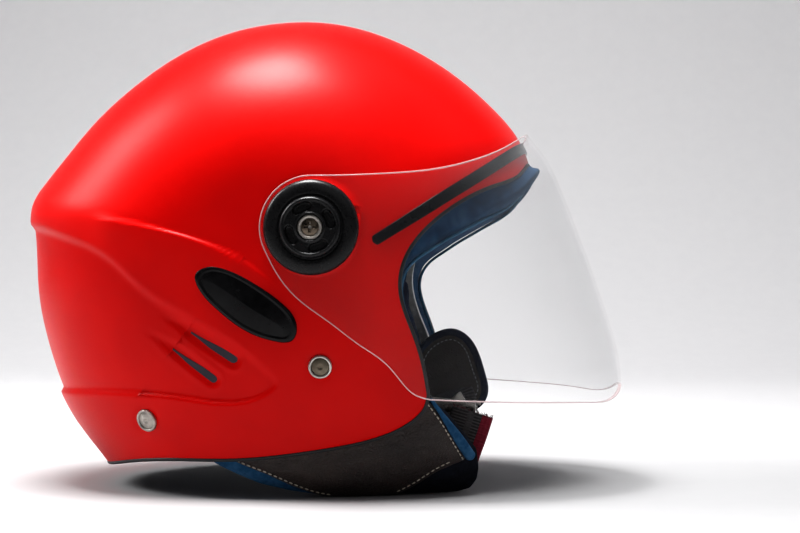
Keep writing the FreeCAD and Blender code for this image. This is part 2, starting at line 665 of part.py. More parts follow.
def main():
    os.makedirs("parts", exist_ok=True)
    rivets, washers, seats = make_rivets()
    export("shell", make_shell().cut(list(seats) + [mirrored(s) for s in seats]))
    export("edge_trim", make_edge_trim())
    export("brow_strip", make_brow_strip())
    export_pair("side_badge", make_badge())
    export_pair("vent_insert", make_vent_insert())
    export("face_lining", make_face_lining())

    export("visor_shield", make_visor())
    export_pair("hinge_base", make_hinge_base())
    export_pair("hinge_cap", make_hinge_cap())
    export_pair("hinge_screw", make_hinge_screw())
    inside_face = wall_y(PIVOT, SHELL_THICK) - 0.6
    export_pair("hinge_nut", make_hinge_nut(inside_face))

    export_pair("strap_rivet", rivets[0])
    export_pair("skirt_rivet", rivets[1])
    export("rivet_washers", Part.makeCompound([w for w in washers] + [mirrored(w) for w in washers]))

    export("foam_liner", make_liner())
    export("crown_pad", make_crown_pad())
    export_pair("cheek_pad", make_cheek_pad())
    export("neck_roll", make_neck_roll())
    export("rear_lining", make_rear_lining())

    skirt, lining = make_skirt()
    export_pair("neck_skirt", skirt)
    export_pair("skirt_lining", lining)
    export_pair("skirt_hem", make_skirt_hem(skirt))
    export_pair("skirt_piping", make_skirt_piping(skirt))

    export("strap_left", make_strap_left().cut(rivets[0]))
    export("strap_right", make_strap_right().cut(mirrored(rivets[0])))
    export("strap_pad", make_strap_pad())
    export("buckle_housing", make_buckle_housing())
    export("buckle_tongue", make_tongue())
    export("release_lever", make_lever())
    export("lever_pin", make_lever_pin())
    export("lever_spring", make_lever_spring())


main()
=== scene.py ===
import bmesh
import bpy
import math
import numpy as np
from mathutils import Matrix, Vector


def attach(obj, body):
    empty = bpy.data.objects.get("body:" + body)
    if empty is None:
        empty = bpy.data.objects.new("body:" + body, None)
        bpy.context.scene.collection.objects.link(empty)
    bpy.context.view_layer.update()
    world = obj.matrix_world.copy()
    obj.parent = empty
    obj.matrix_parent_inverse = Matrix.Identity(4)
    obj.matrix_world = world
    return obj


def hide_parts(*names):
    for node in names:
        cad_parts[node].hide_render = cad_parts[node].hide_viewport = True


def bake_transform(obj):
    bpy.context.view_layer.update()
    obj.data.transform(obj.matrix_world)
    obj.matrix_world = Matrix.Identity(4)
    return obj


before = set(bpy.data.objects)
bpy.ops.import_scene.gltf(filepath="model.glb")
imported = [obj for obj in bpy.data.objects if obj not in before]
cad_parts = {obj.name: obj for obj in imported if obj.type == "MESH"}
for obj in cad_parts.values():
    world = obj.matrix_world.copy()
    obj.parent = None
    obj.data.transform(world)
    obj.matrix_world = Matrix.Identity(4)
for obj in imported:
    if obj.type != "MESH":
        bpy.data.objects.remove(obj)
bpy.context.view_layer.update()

# Open face helmet. Lengths below are in millimetres and become metres as a mesh is made.
# +X is the front, +Y the wearer's left, +Z up.
MM = 0.001
SIDES = {"left": 1.0, "right": -1.0}

# ---- driving sizes, as in the part's own source ---------------------------------
HALF_WIDTH = 121.5
SHELL_THICK = 4.0
LINER_INNER = 28.3
PAD_THICK = 8.0
SWELL = 2.2
FLAT_RADIUS = 28.0
CENTRE = (-24.0, 136.5)
PIVOT = (3.0, 141.5)
BOSS_RADIUS = 22.5
BOSS_FACE = 122.6
CAP_FACE = 127.3
VISOR_OUTER = 127.0
VISOR_THICK = 1.8
VISOR_FLAT_RADIUS = 27.0
FRONT_RIVET = (6.8, 69.8)
REAR_RIVET = (-86.5, 40.4)

SHELL_RADII = [
    (0, 146.0), (14, 145.5), (23, 144.8), (31, 140.6), (45, 134.0), (60, 129.2),
    (75, 125.8), (90, 122.4), (105, 120.2), (120, 119.0), (135, 120.2),
    (148, 124.5), (160, 131.2), (167, 138.0), (172, 142.6), (180, 141.8),
    (192, 143.4), (206, 147.8), (220, 154.6), (234, 161.5), (248, 183.0),
    (262, 200.0), (275, 205.0), (290, 202.0), (303, 201.0), (316, 197.0), (329, 177.0), (344, 154.0),
]
VISOR_RADII = [
    (0, 139.6), (10, 132.6), (18, 128.8), (25.5, 124.2), (45, 122.0), (70, 122.0),
    (95, 126.0), (120, 130.0), (150, 135.0), (180, 140.0), (210, 150.0), (240, 175.0),
    (265, 215.0), (285, 226.0), (303, 222.0), (318, 206.0), (330, 189.2),
    (335.6, 179.2), (345.7, 158.4), (352.6, 147.9),
]
SHELL_BOTTOM = [
    (-124, 12), (-99, 17.5), (-68, 20.7), (-36.5, 21.4), (-5, 24.7),
    (16, 28), (37, 33.2), (54, 42), (60, 49), (61.5, 55),
]
FACE_EDGE = [
    (61.5, 55), (58.5, 72), (53.3, 88.7), (48.7, 101.6), (47.1, 112), (48.5, 122),
    (53, 132), (61, 142), (79, 156.3), (94, 164), (108.5, 171.5), (114.5, 180),
]
PANEL_TOP = [
    (-185, 146.5), (-160, 145.5), (-130, 138.5), (-105.5, 128.5), (-86, 112), (-65, 99),
    (-45, 88), (-25, 74), (-16.5, 66.5),
]
PANEL_BOTTOM = [(-16.5, 66.5), (-15.5, 61), (-25, 53), (-36, 50), (-66, 52), (-107, 53.5), (-185, 48)]
BAND_CREASE = [(-118, 150.6), (-109, 148.8), (-81, 143), (-55, 135.8), (-35, 127), (-22, 118), (-12, 108)]
STRIP_MIDDLE = [(34, 134.2), (53, 146.4), (73, 159.6), (93.5, 173.6), (109, 185.4)]
VISOR_TOP = [(18, 168.2), (38, 169), (64, 171.4), (85.5, 177), (101, 184.4), (115, 196.5)]
VISOR_BACK = [
    (63.5, 53), (56, 55.4), (48, 63.4), (40.5, 72.1), (27.6, 81.3), (12.2, 93),
    (-3.2, 104.3), (-13.6, 116.1),
]
VISOR_FOOT = [(63.5, 53), (110, 50.7), (148, 48.7), (158, 48.9), (163.5, 51.8), (167.5, 58), (170, 66)]
VISOR_HEEL = 26.7
BADGE = [
    (-57.5, 117.6), (-52, 121.4), (-42.6, 120.8), (-27.1, 113), (-11.5, 101.6), (-5, 91.5),
    (-7, 83.6), (-17, 83), (-32.3, 88.7), (-47.8, 100.6), (-55.8, 110),
]
# How far the moulded panel, band, scoops and scoop lips go in or out.
PANEL_DEPTH = 2.5
BAND_RISE = 1.5
SCOOP_DEPTH = 1.3
SCOOP_LIP = 0.5
# Vents: where the scoop starts, then the slot's rear and front ends.
VENTS = [((-80.4, 98.9), (-60.6, 87.4), (-38.4, 72.9)), ((-89.4, 90.0), (-70.6, 78.6), (-49.6, 62.8))]
WEB_WIDTH = 22
WEB_THICK = 1.6
TAIL_WIDTH = 23
PAD_VOXEL = 4.2
STRAP_PAD = [
    (52.6, 73.4), (62, 80.5), (70, 82.2), (77.5, 78.6), (83.5, 69.5), (87.5, 57),
    (88.8, 45), (84, 38.6), (72, 37.2), (58, 38.6), (51, 45),
]


# ---- curves and wall forms --------------------------------------------------------
def smooth_path(points, count, closed=False):
    """Even points on the smooth curve through a few given ones, in any dimension."""
    p = np.array(points, float)
    laps = 1
    if closed:
        laps = 3
        p = np.vstack([p, p, p, p[:1]])
    knots = np.r_[0, np.cumsum(np.linalg.norm(np.diff(p, axis=0), axis=1))]
    h = np.diff(knots)
    n = len(p)
    system = np.eye(n)
    rates = np.zeros_like(p)
    for i in range(1, n - 1):
        system[i, i - 1:i + 2] = h[i - 1], 2 * (h[i - 1] + h[i]), h[i]
        rates[i] = 6 * ((p[i + 1] - p[i]) / h[i] - (p[i] - p[i - 1]) / h[i - 1])
    bend = np.linalg.solve(system, rates)
    span = (len(points) if closed else n - 1)
    start = span if closed else 0
    at = np.linspace(knots[start], knots[start + span], max(40 * span, 4 * count))
    k = np.clip(np.searchsorted(knots, at, side="right") - 1, 0, n - 2)
    a = ((knots[k + 1] - at) / h[k])[:, None]
    b = 1 - a
    hk = h[k][:, None]
    dense = a * p[k] + b * p[k + 1]
    dense += ((a ** 3 - a) * bend[k] + (b ** 3 - b) * bend[k + 1]) * hk ** 2 / 6
    return resampled(dense, count, closed)


def resampled(path, count, closed=False):
    """The same path with evenly spaced points; a closed one does not repeat its first."""
    run = np.r_[0, np.cumsum(np.linalg.norm(np.diff(path, axis=0), axis=1))]
    at = np.linspace(0, run[-1], count + 1 if closed else count)
    at = at[:-1] if closed else at
    return np.stack([np.interp(at, run, path[:, i]) for i in range(path.shape[1])], axis=1)


class Form:
    """A rounded wall: its side view has the radii, and its cross-section is a superellipse."""

    def __init__(self, centre, radii, half_width, flat):
        self.centre = np.array(centre)
        self.half_width = half_width
        self.flat = flat
        turns = np.radians([a for a, _ in radii])
        reach = np.array([r for _, r in radii])
        knots = np.stack([reach * np.cos(turns), reach * np.sin(turns)], axis=1)
        ring = smooth_path(knots, 3600, closed=True)
        turn = np.unwrap(np.arctan2(ring[:, 1], ring[:, 0]))
        self.turns = np.r_[turn - 2 * math.pi, turn, turn + 2 * math.pi]
        self.reach = np.tile(np.hypot(ring[:, 0], ring[:, 1]), 3)

    def radius(self, turn):
        return np.interp(np.mod(turn, 2 * math.pi), self.turns, self.reach)

    def wall_y(self, xz, inset=0.0):
        """|y| of the wall at places seen from the side."""
        d = np.asarray(xz, float) - self.centre
        rho = np.hypot(d[..., 0], d[..., 1])
        full = self.radius(np.arctan2(d[..., 1], d[..., 0])) - inset
        share = np.clip((rho - self.flat) / (full - self.flat), 0, 1)
        return (self.half_width - inset) * (1 - share ** SWELL) ** (1 / SWELL)

    def on_wall(self, xz, inset=0.0, side=1.0):
        xz = np.asarray(xz, float)
        return np.stack([xz[..., 0], side * self.wall_y(xz, inset), xz[..., 1]], axis=-1)

    def columns(self, xz):
        """Angle and reach from the centre of each boundary point."""
        d = np.asarray(xz) - self.centre
        return np.arctan2(d[:, 1], d[:, 0]), np.hypot(d[:, 0], d[:, 1])


helmet = Form(CENTRE, SHELL_RADII, HALF_WIDTH, FLAT_RADIUS)
visor_form = Form(PIVOT, VISOR_RADII, VISOR_OUTER, VISOR_FLAT_RADIUS)


def smoothstep(low, high, value):
    t = np.clip((value - low) / (high - low), 0, 1)
    return t * t * (3 - 2 * t)


def distance_to(path, xz):
    """Distance from places to a side-view path, with the share of its length and the side."""
    best = np.full(xz.shape[:-1], 1e9)
    share = np.zeros(xz.shape[:-1])
    side = np.zeros(xz.shape[:-1])
    run = np.r_[0, np.cumsum(np.linalg.norm(np.diff(path, axis=0), axis=1))]
    for i in range(len(path) - 1):
        a, b = path[i], path[i + 1]
        ab = b - a
        ap = xz - a
        t = np.clip((ap @ ab) / (ab @ ab), 0, 1)
        d = np.linalg.norm(ap - t[..., None] * ab, axis=-1)
        near = d < best
        best = np.where(near, d, best)
        share = np.where(near, (run[i] + t * (run[i + 1] - run[i])) / run[-1], share)
        side = np.where(near, np.sign(ab[0] * ap[..., 1] - ab[1] * ap[..., 0]), side)
    return best, share, side


def inside(loop, xz):
    """Whether places lie inside a closed side-view loop."""
    x, z = xz[..., 0], xz[..., 1]
    within = np.zeros(x.shape, bool)
    for a, b in zip(loop, np.roll(loop, -1, axis=0)):
        crosses = (a[1] > z) != (b[1] > z)
        rise = b[1] - a[1] if b[1] != a[1] else 1e-9
        within ^= crosses & (x < a[0] + (z - a[1]) / rise * (b[0] - a[0]))
    return within


# ---- mesh making --------------------------------------------------------------------
def finish_mesh(name, verts, faces, material):
    """A mesh object from millimetre points, closed forms turned to face outwards."""
    mesh = bpy.data.meshes.new(name)
    mesh.from_pydata((np.asarray(verts, float) * MM).tolist(), [], [list(f) for f in faces])
    bm = bmesh.new()
    bm.from_mesh(mesh)
    bmesh.ops.remove_doubles(bm, verts=bm.verts, dist=1e-6)
    if all(len(e.link_faces) == 2 for e in bm.edges) and bm.calc_volume(signed=True) < 0:
        bmesh.ops.reverse_faces(bm, faces=bm.faces)
    bm.to_mesh(mesh)
    bm.free()
    mesh.materials.append(material)
    mesh.shade_smooth()
    piece = bpy.data.objects.new(name, mesh)
    bpy.context.scene.collection.objects.link(piece)
    return piece


def place(piece, body, slot, *nodes):
    """Fixes a piece to its body and hides the nodes that it stands for; the slot argument is not used."""
    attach(piece, body)
    if nodes:
        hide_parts(*nodes)
    return piece


def grid_faces(rows, columns, wrap_rows=False, wrap_columns=False):
    """Quads over a grid of points numbered row by row."""
    faces = []
    for r in range(rows if wrap_rows else rows - 1):
        for c in range(columns if wrap_columns else columns - 1):
            r1 = (r + 1) % rows
            c1 = (c + 1) % columns
            faces.append((r * columns + c, r * columns + c1, r1 * columns + c1, r1 * columns + c))
    return faces


def sweep_mesh(path, across, profile, closed=False):
    """Points and faces of a profile (across, up) carried along a path; ends are closed."""
    path = np.asarray(path, float)
    count = len(path)
    if closed:
        along = np.roll(path, -1, axis=0) - np.roll(path, 1, axis=0)
    else:
        along = np.gradient(path, axis=0)
    along /= np.linalg.norm(along, axis=1, keepdims=True)
    across = np.broadcast_to(np.asarray(across, float), path.shape)
    side = across - along * np.sum(across * along, axis=1, keepdims=True)
    side /= np.linalg.norm(side, axis=1, keepdims=True)
    up = np.cross(along, side)
    profile = np.asarray(profile, float)
    if profile.ndim == 2:
        profile = np.broadcast_to(profile, (count,) + profile.shape)
    points = path[:, None] + profile[..., :1] * side[:, None] + profile[..., 1:] * up[:, None]
    m = profile.shape[1]
    verts = points.reshape(-1, 3)
    faces = grid_faces(count, m, wrap_rows=closed, wrap_columns=True)
    if not closed:
        for end, ring in enumerate((0, count - 1)):
            centre = len(verts) + end
            for k in range(m):
                pair = (ring * m + k, ring * m + (k + 1) % m)
                faces.append((pair[1], pair[0], centre) if ring == 0 else (pair[0], pair[1], centre))
        verts = np.vstack([verts, points[0].mean(axis=0), points[-1].mean(axis=0)])
    return verts, faces


def rounded_profile(width, height, corner, steps=5):
    """A rounded rectangle about the origin."""
    points = []
    for quarter, (sx, sy) in enumerate([(1, 1), (-1, 1), (-1, -1), (1, -1)]):
        for k in range(steps):
            a = math.pi / 2 * (quarter + k / (steps - 1))
            points.append((sx * (width / 2 - corner) + corner * math.cos(a),
                           sy * (height / 2 - corner) + corner * math.sin(a)))
    return np.array(points)


def oval_profile(width, height, steps=16):
    a = np.linspace(0, 2 * math.pi, steps, endpoint=False)
    return np.stack([width / 2 * np.cos(a), height / 2 * np.sin(a)], axis=1)


def lathe_mesh(origin, axis, height, radii, segments=64, shape=None):
    """A round form: a radius and a height per ring, with the middle closed by a point."""
    axis = np.asarray(axis, float) / np.linalg.norm(axis)
    first = np.cross(axis, (0, 0, 1.0) if abs(axis[2]) < 0.9 else (1.0, 0, 0))
    first /= np.linalg.norm(first)
    second = np.cross(axis, first)
    turn = np.linspace(0, 2 * math.pi, segments, endpoint=False)
    verts = []
    for r, h in zip(radii, height):
        rise = h if shape is None else shape(r, turn, h)
        ring = (np.asarray(origin) + np.outer(r * np.cos(turn), first)
                + np.outer(r * np.sin(turn), second) + np.outer(np.broadcast_to(rise, turn.shape), axis))
        verts.append(ring)
    verts = np.vstack(verts)
    faces = grid_faces(len(radii), segments, wrap_columns=True)
    caps = []
    for ring in (0, len(radii) - 1):
        centre = verts[ring * segments:(ring + 1) * segments].mean(axis=0)
        caps.append(centre)
        tip = len(radii) * segments + len(caps) - 1
        for k in range(segments):
            pair = (ring * segments + k, ring * segments + (k + 1) % segments)
            faces.append((pair[1], pair[0], tip) if ring == 0 else (pair[0], pair[1], tip))
    return np.vstack([verts, caps]), faces


# ---- materials ------------------------------------------------------------------------
def finish_of(name, color, roughness, **sockets):
    """A principled material; sockets are set by their own names, with _ for a space."""
    material = bpy.data.materials.new(name)
    material.use_nodes = True
    shader = material.node_tree.nodes["Principled BSDF"]
    shader.inputs["Base Color"].default_value = (*color, 1)
    shader.inputs["Roughness"].default_value = roughness
    for socket, value in sockets.items():
        shader.inputs[socket.replace("_", " ")].default_value = value
    material.diffuse_color = (*color, 1)
    return material


def add_node(material, kind, **values):
    node = material.node_tree.nodes.new(kind)
    for key, value in values.items():
        if key in node.inputs:
            node.inputs[key].default_value = value
        else:
            setattr(node, key, value)
    return node


def link(material, source, target):
    material.node_tree.links.new(source, target)


def place_of(material, scale=(1, 1, 1)):
    """The place on the object, for patterns that must not slide over it."""
    where = add_node(material, "ShaderNodeTexCoord")
    mapping = add_node(material, "ShaderNodeMapping")
    mapping.inputs["Scale"].default_value = scale
    link(material, where.outputs["Object"], mapping.inputs["Vector"])
    return mapping.outputs["Vector"]


def noise_of(material, scale, detail=3.0, roughness=0.55, vector=None):
    noise = add_node(material, "ShaderNodeTexNoise")
    noise.inputs["Scale"].default_value = scale
    noise.inputs["Detail"].default_value = detail
    noise.inputs["Roughness"].default_value = roughness
    link(material, vector or place_of(material), noise.inputs["Vector"])
    return noise.outputs["Fac"]


def bump_from(material, heights):
    """Stacks bumps of (output, strength, distance in millimetres) onto the shader's normal."""
    shader = material.node_tree.nodes["Principled BSDF"]
    below = None
    for height, strength, distance in heights:
        bump = add_node(material, "ShaderNodeBump")
        bump.inputs["Strength"].default_value = strength
        bump.inputs["Distance"].default_value = distance * MM
        link(material, height, bump.inputs["Height"])
        if below is not None:
            link(material, below, bump.inputs["Normal"])
        below = bump.outputs["Normal"]
    link(material, below, shader.inputs["Normal"])


def ramp_of(material, source, *stops):
    ramp = add_node(material, "ShaderNodeValToRGB")
    elements = ramp.color_ramp.elements
    while len(elements) < len(stops):
        elements.new(0.5)
    for element, (position, color) in zip(elements, stops):
        element.position = position
        element.color = (*color, 1)
    link(material, source, ramp.inputs["Fac"])
    return ramp.outputs["Color"]


def tint(material, source, *stops, socket="Base Color"):
    shader = material.node_tree.nodes["Principled BSDF"]
    link(material, ramp_of(material, source, *stops), shader.inputs[socket])


def grey(value):
    return (value, value, value)


def red_paint():
    m = finish_of("red_paint", (0.66, 0.0, 0.0), 0.36, Specular_IOR_Level=0.13)
    fine = noise_of(m, 1500, 2)
    peel = noise_of(m, 260, 2)
    tint(m, noise_of(m, 22, 2), (0.3, (0.62, 0.0, 0.0)), (0.7, (0.70, 0.001, 0.0)))
    tint(m, fine, (0.35, grey(0.33)), (0.65, grey(0.43)), socket="Roughness")
    bump_from(m, [(peel, 0.10, 0.25), (fine, 0.30, 0.14)])
    return m


def velour(name, dark, mid, light):
    m = finish_of(name, mid, 0.95, Sheen_Weight=0.6, Sheen_Roughness=0.45, Specular_IOR_Level=0.15)
    m.node_tree.nodes["Principled BSDF"].inputs["Sheen Tint"].default_value = (*light, 1)
    cloud = noise_of(m, 60, 4, 0.7)
    pile = noise_of(m, 2200, 2, 0.7)
    tint(m, cloud, (0.28, dark), (0.5, mid), (0.75, light))
    bump_from(m, [(cloud, 0.35, 0.6), (pile, 0.6, 0.35)])
    return m


def leather(name, dark, light):
    m = finish_of(name, dark, 0.5, Specular_IOR_Level=0.5)
    cells = add_node(m, "ShaderNodeTexVoronoi", feature="DISTANCE_TO_EDGE")
    cells.inputs["Scale"].default_value = 560
    warp = add_node(m, "ShaderNodeMixRGB", blend_type="ADD")
    warp.inputs["Fac"].default_value = 0.0022
    spot = place_of(m)
    link(m, spot, warp.inputs["Color1"])
    ripple = add_node(m, "ShaderNodeTexNoise")
    ripple.inputs["Scale"].default_value = 240
    link(m, spot, ripple.inputs["Vector"])
    link(m, ripple.outputs["Color"], warp.inputs["Color2"])
    link(m, warp.outputs["Color"], cells.inputs["Vector"])
    grain = ramp_of(m, cells.outputs["Distance"], (0.0, grey(0.0)), (0.28, grey(1.0)))
    pores = noise_of(m, 3000, 2)
    creases = noise_of(m, 210, 5, 0.6, vector=place_of(m, scale=(1, 1, 1.8)))
    tint(m, noise_of(m, 34, 4, 0.65), (0.3, dark), (0.72, light))
    tint(m, cells.outputs["Distance"], (0.0, grey(0.55)), (0.3, grey(0.36)), socket="Roughness")
    bump_from(m, [(creases, 0.8, 1.1), (grain, 0.8, 0.3), (pores, 0.25, 0.08)])
    return m


def moulded(name, color, roughness, texture=900.0, depth=0.06, **sockets):
    m = finish_of(name, color, roughness, **sockets)
    fine = noise_of(m, texture, 2)
    wide = noise_of(m, 45, 3)
    lighter = tuple(min(c * 1.5 + 0.004, 1) for c in color)
    tint(m, wide, (0.35, color), (0.75, lighter))
    glossy, dull = grey(max(roughness - 0.06, 0.03)), grey(roughness + 0.08)
    tint(m, fine, (0.3, glossy), (0.7, dull), socket="Roughness")
    bump_from(m, [(fine, 0.3, depth)])
    return m


def metal(name, color, roughness, stretch=(1, 1, 1)):
    m = finish_of(name, color, roughness, Metallic=1.0)
    spot = place_of(m, scale=stretch)
    brushed = noise_of(m, 900, 3, vector=spot)
    stains = noise_of(m, 130, 4, 0.7)
    darker = tuple(c * 0.55 for c in color)
    tint(m, stains, (0.3, darker), (0.62, color))
    glossy, dull = grey(roughness * 0.8), grey(min(roughness * 1.35, 1))
    tint(m, brushed, (0.3, glossy), (0.7, dull), socket="Roughness")
    bump_from(m, [(brushed, 0.18, 0.05), (stains, 0.12, 0.12)])
    return m


def webbing(name, color, stripe=None):
    """Woven strap: ribs run across it, on the piece's own UV map (u across, v along, in metres)."""
    m = finish_of(name, color, 0.8, Sheen_Weight=0.3, Specular_IOR_Level=0.25)
    uv = add_node(m, "ShaderNodeUVMap", uv_map="weave")
    split = add_node(m, "ShaderNodeSeparateXYZ")
    link(m, uv.outputs["UV"], split.inputs["Vector"])
    ribs = add_node(m, "ShaderNodeTexWave", wave_type="BANDS", bands_direction="Y")
    ribs.inputs["Scale"].default_value = 190
    link(m, uv.outputs["UV"], ribs.inputs["Vector"])
    cords = add_node(m, "ShaderNodeTexWave", wave_type="BANDS", bands_direction="X")
    cords.inputs["Scale"].default_value = 130
    link(m, uv.outputs["UV"], cords.inputs["Vector"])
    fuzz = noise_of(m, 1800, 3)
    light = tuple(min(c * 2.6 + 0.01, 1) for c in color)
    weave = ramp_of(m, ribs.outputs["Fac"], (0.2, color), (0.9, light))
    if stripe is not None:
        band = add_node(m, "ShaderNodeMixRGB")
        gate = add_node(m, "ShaderNodeMath", operation="GREATER_THAN")
        gate.inputs[1].default_value = 0.0055
        link(m, split.outputs["X"], gate.inputs[0])
        link(m, gate.outputs["Value"], band.inputs["Fac"])
        link(m, weave, band.inputs["Color1"])
        band.inputs["Color2"].default_value = (*stripe, 1)
        pale = add_node(m, "ShaderNodeMixRGB")
        inner = add_node(m, "ShaderNodeMath", operation="COMPARE")
        inner.inputs[1].default_value = -0.0005
        inner.inputs[2].default_value = 0.0018
        link(m, split.outputs["X"], inner.inputs[0])
        link(m, inner.outputs["Value"], pale.inputs["Fac"])
        link(m, band.outputs["Color"], pale.inputs["Color1"])
        pale.inputs["Color2"].default_value = (0.075, 0.068, 0.07, 1)
        weave = pale.outputs["Color"]
    link(m, weave, m.node_tree.nodes["Principled BSDF"].inputs["Base Color"])
    bump_from(m, [(ribs.outputs["Fac"], 0.5, 0.25), (cords.outputs["Fac"], 0.45, 0.3), (fuzz, 0.3, 0.15)])
    return m


def clear_sheet(name, face_alpha, rim_alpha, color, roughness):
    """Clear plastic: almost unseen face on; where it is seen along its surface, a grey, more opaque colour is
    painted on as its reflection.
    """
    m = finish_of(name, color, roughness, Specular_IOR_Level=0.5, Coat_Weight=0.3)
    facing = add_node(m, "ShaderNodeLayerWeight")
    facing.inputs["Blend"].default_value = 0.35
    scuffs = noise_of(m, 420, 5, 0.75, vector=place_of(m, scale=(1, 1, 0.25)))
    # Painted reflection: the grey colour's opacity rises towards grazing angles.
    blend = add_node(m, "ShaderNodeMapRange")
    blend.inputs["To Min"].default_value = face_alpha
    blend.inputs["To Max"].default_value = rim_alpha
    link(m, facing.outputs["Facing"], blend.inputs["Value"])
    link(m, blend.outputs["Result"], m.node_tree.nodes["Principled BSDF"].inputs["Alpha"])
    tint(m, scuffs, (0.4, grey(roughness)), (0.8, grey(roughness + 0.06)), socket="Roughness")
    m.surface_render_method = "BLENDED"
    return m


def foam():
    m = finish_of("white_foam", (0.82, 0.82, 0.8), 0.8, Specular_IOR_Level=0.3)
    beads = add_node(m, "ShaderNodeTexVoronoi")
    beads.inputs["Scale"].default_value = 300
    link(m, place_of(m), beads.inputs["Vector"])
    tint(m, beads.outputs["Distance"], (0.0, (0.88, 0.88, 0.86)), (0.7, (0.66, 0.66, 0.64)))
    bump_from(m, [(beads.outputs["Distance"], 0.6, 0.5)])
    return m


def thread(name, color, roughness=0.8, **sockets):
    m = finish_of(name, color, roughness, **sockets)
    bump_from(m, [(noise_of(m, 2600, 2), 0.5, 0.15)])
    return m


RED = red_paint()
RUBBER = moulded("black_rubber", (0.005, 0.005, 0.006), 0.5, 700, 0.1)
GLOSS_BLACK = moulded("black_gloss", (0.003, 0.003, 0.0035), 0.2, 300, 0.01, Specular_IOR_Level=0.22)
CAP_BLACK = moulded("black_plastic", (0.004, 0.004, 0.0045), 0.3, 1100, 0.05, Specular_IOR_Level=0.3)
SLATE = moulded("slate_plastic", (0.022, 0.019, 0.032), 0.55, 900, 0.1)
BLUE = velour("blue_velour", (0.006, 0.03, 0.08), (0.02, 0.08, 0.17), (0.06, 0.17, 0.31))
NAVY = velour("navy_fabric", (0.004, 0.006, 0.016), (0.008, 0.013, 0.034), (0.02, 0.032, 0.075))
# Darker copy of the blue velour for the brow roll: painted shade under the brim.
SHADED_BROW_BLUE = velour("brow_velour_painted_shade", (0.005, 0.018, 0.045), (0.012, 0.045, 0.10), (0.03, 0.09, 0.17))
PIPING = velour("piping_blue", (0.02, 0.07, 0.14), (0.04, 0.12, 0.21), (0.08, 0.20, 0.32))
BLACK_CLOTH = velour("black_cloth", (0.0035, 0.004, 0.007), (0.007, 0.008, 0.013), (0.018, 0.021, 0.032))
LEATHER = leather("brown_leather", (0.018, 0.012, 0.011), (0.050, 0.036, 0.031))
THREAD = thread("pale_thread", (0.55, 0.50, 0.42))
GREY_THREAD = thread("grey_thread", (0.28, 0.28, 0.29))
FRAY = thread("frayed_threads", (0.16, 0.05, 0.06), 0.85, Sheen_Weight=0.4)
STEEL = metal("buckle_steel", (0.60, 0.58, 0.55), 0.30, (1, 6, 1))
BRIGHT = metal("bright_steel", (0.62, 0.60, 0.56), 0.32)
SCREW = metal("screw_bronze", (0.16, 0.13, 0.10), 0.3)
DARK_NICKEL = metal("dark_nickel", (0.20, 0.17, 0.13), 0.42)
PALE_NICKEL = metal("pale_nickel", (0.50, 0.47, 0.43), 0.48)
WEB = webbing("black_webbing", (0.018, 0.016, 0.018))
WEB_STRIPED = webbing("striped_webbing", (0.030, 0.027, 0.028), stripe=(0.22, 0.012, 0.03))
FOAM = foam()
CLEAR = clear_sheet("clear_visor", 0.012, 0.16, (0.62, 0.64, 0.66), 0.04)
# The edge material's pale pink, half-opaque colour is a painted highlight.
VISOR_EDGE_HIGHLIGHT = clear_sheet("visor_edge_painted_highlight", 0.55, 0.7, (0.80, 0.62, 0.62), 0.15)


# ---- walls built from two skins -------------------------------------------------------
def clipped(form, path, inset):
    """The part of a side-view path that lies on a wall's skin, ended exactly on its silhouette."""
    turns, reach = form.columns(path)
    over = reach - (form.radius(turns) - inset)
    kept = np.flatnonzero(over < 0)
    first, last = kept[0], kept[-1]
    ends = []
    for within, beyond in ((first, first - 1), (last, last + 1)):
        if 0 <= beyond < len(path):
            share = over[within] / (over[within] - over[beyond])
            spot = path[within] + share * (path[beyond] - path[within])
            turn = math.atan2(spot[1] - form.centre[1], spot[0] - form.centre[0])
            r = float(form.radius(turn)) - inset
            ends.append(form.centre + r * np.array([math.cos(turn), math.sin(turn)]))
        else:
            ends.append(path[within])
    return np.vstack([ends[0], path[first:last + 1], ends[1]])


def along_wall(form, xz, count, inset, weight=None):
    """Side-view points of a line on the wall, even in real length or by a weight."""
    p = form.on_wall(xz, inset)
    step = np.linalg.norm(np.diff(p, axis=0), axis=1)
    if weight is not None:
        step = step * weight((xz[1:] + xz[:-1]) / 2)
    run = np.r_[0, np.cumsum(step)]
    at = np.linspace(0, run[-1], count)
    return np.stack([np.interp(at, run, xz[:, 0]), np.interp(at, run, xz[:, 1])], axis=1)


def skin_boundary(form, edge, inset, edge_count, rim_count, weight=None):
    cut = clipped(form, edge, inset)
    line = along_wall(form, cut, edge_count, inset, weight)
    line[0], line[-1] = cut[0], cut[-1]
    turns, _ = form.columns(line[[-1, 0]])
    start, end = turns[0], turns[1]
    while end <= start:
        end += 2 * math.pi
    fine = np.linspace(start, end, 2000)
    r = form.radius(fine) - inset
    rim = form.centre + np.stack([r * np.cos(fine), r * np.sin(fine)], axis=1)
    step = np.linalg.norm(np.diff(rim, axis=0), axis=1)
    if weight is not None:
        step = step * weight((rim[1:] + rim[:-1]) / 2)
    run = np.r_[0, np.cumsum(step)]
    at = np.linspace(0, run[-1], rim_count + 2)[1:-1]
    rim = np.stack([np.interp(at, run, rim[:, 0]), np.interp(at, run, rim[:, 1])], axis=1)
    return np.vstack([line, rim])


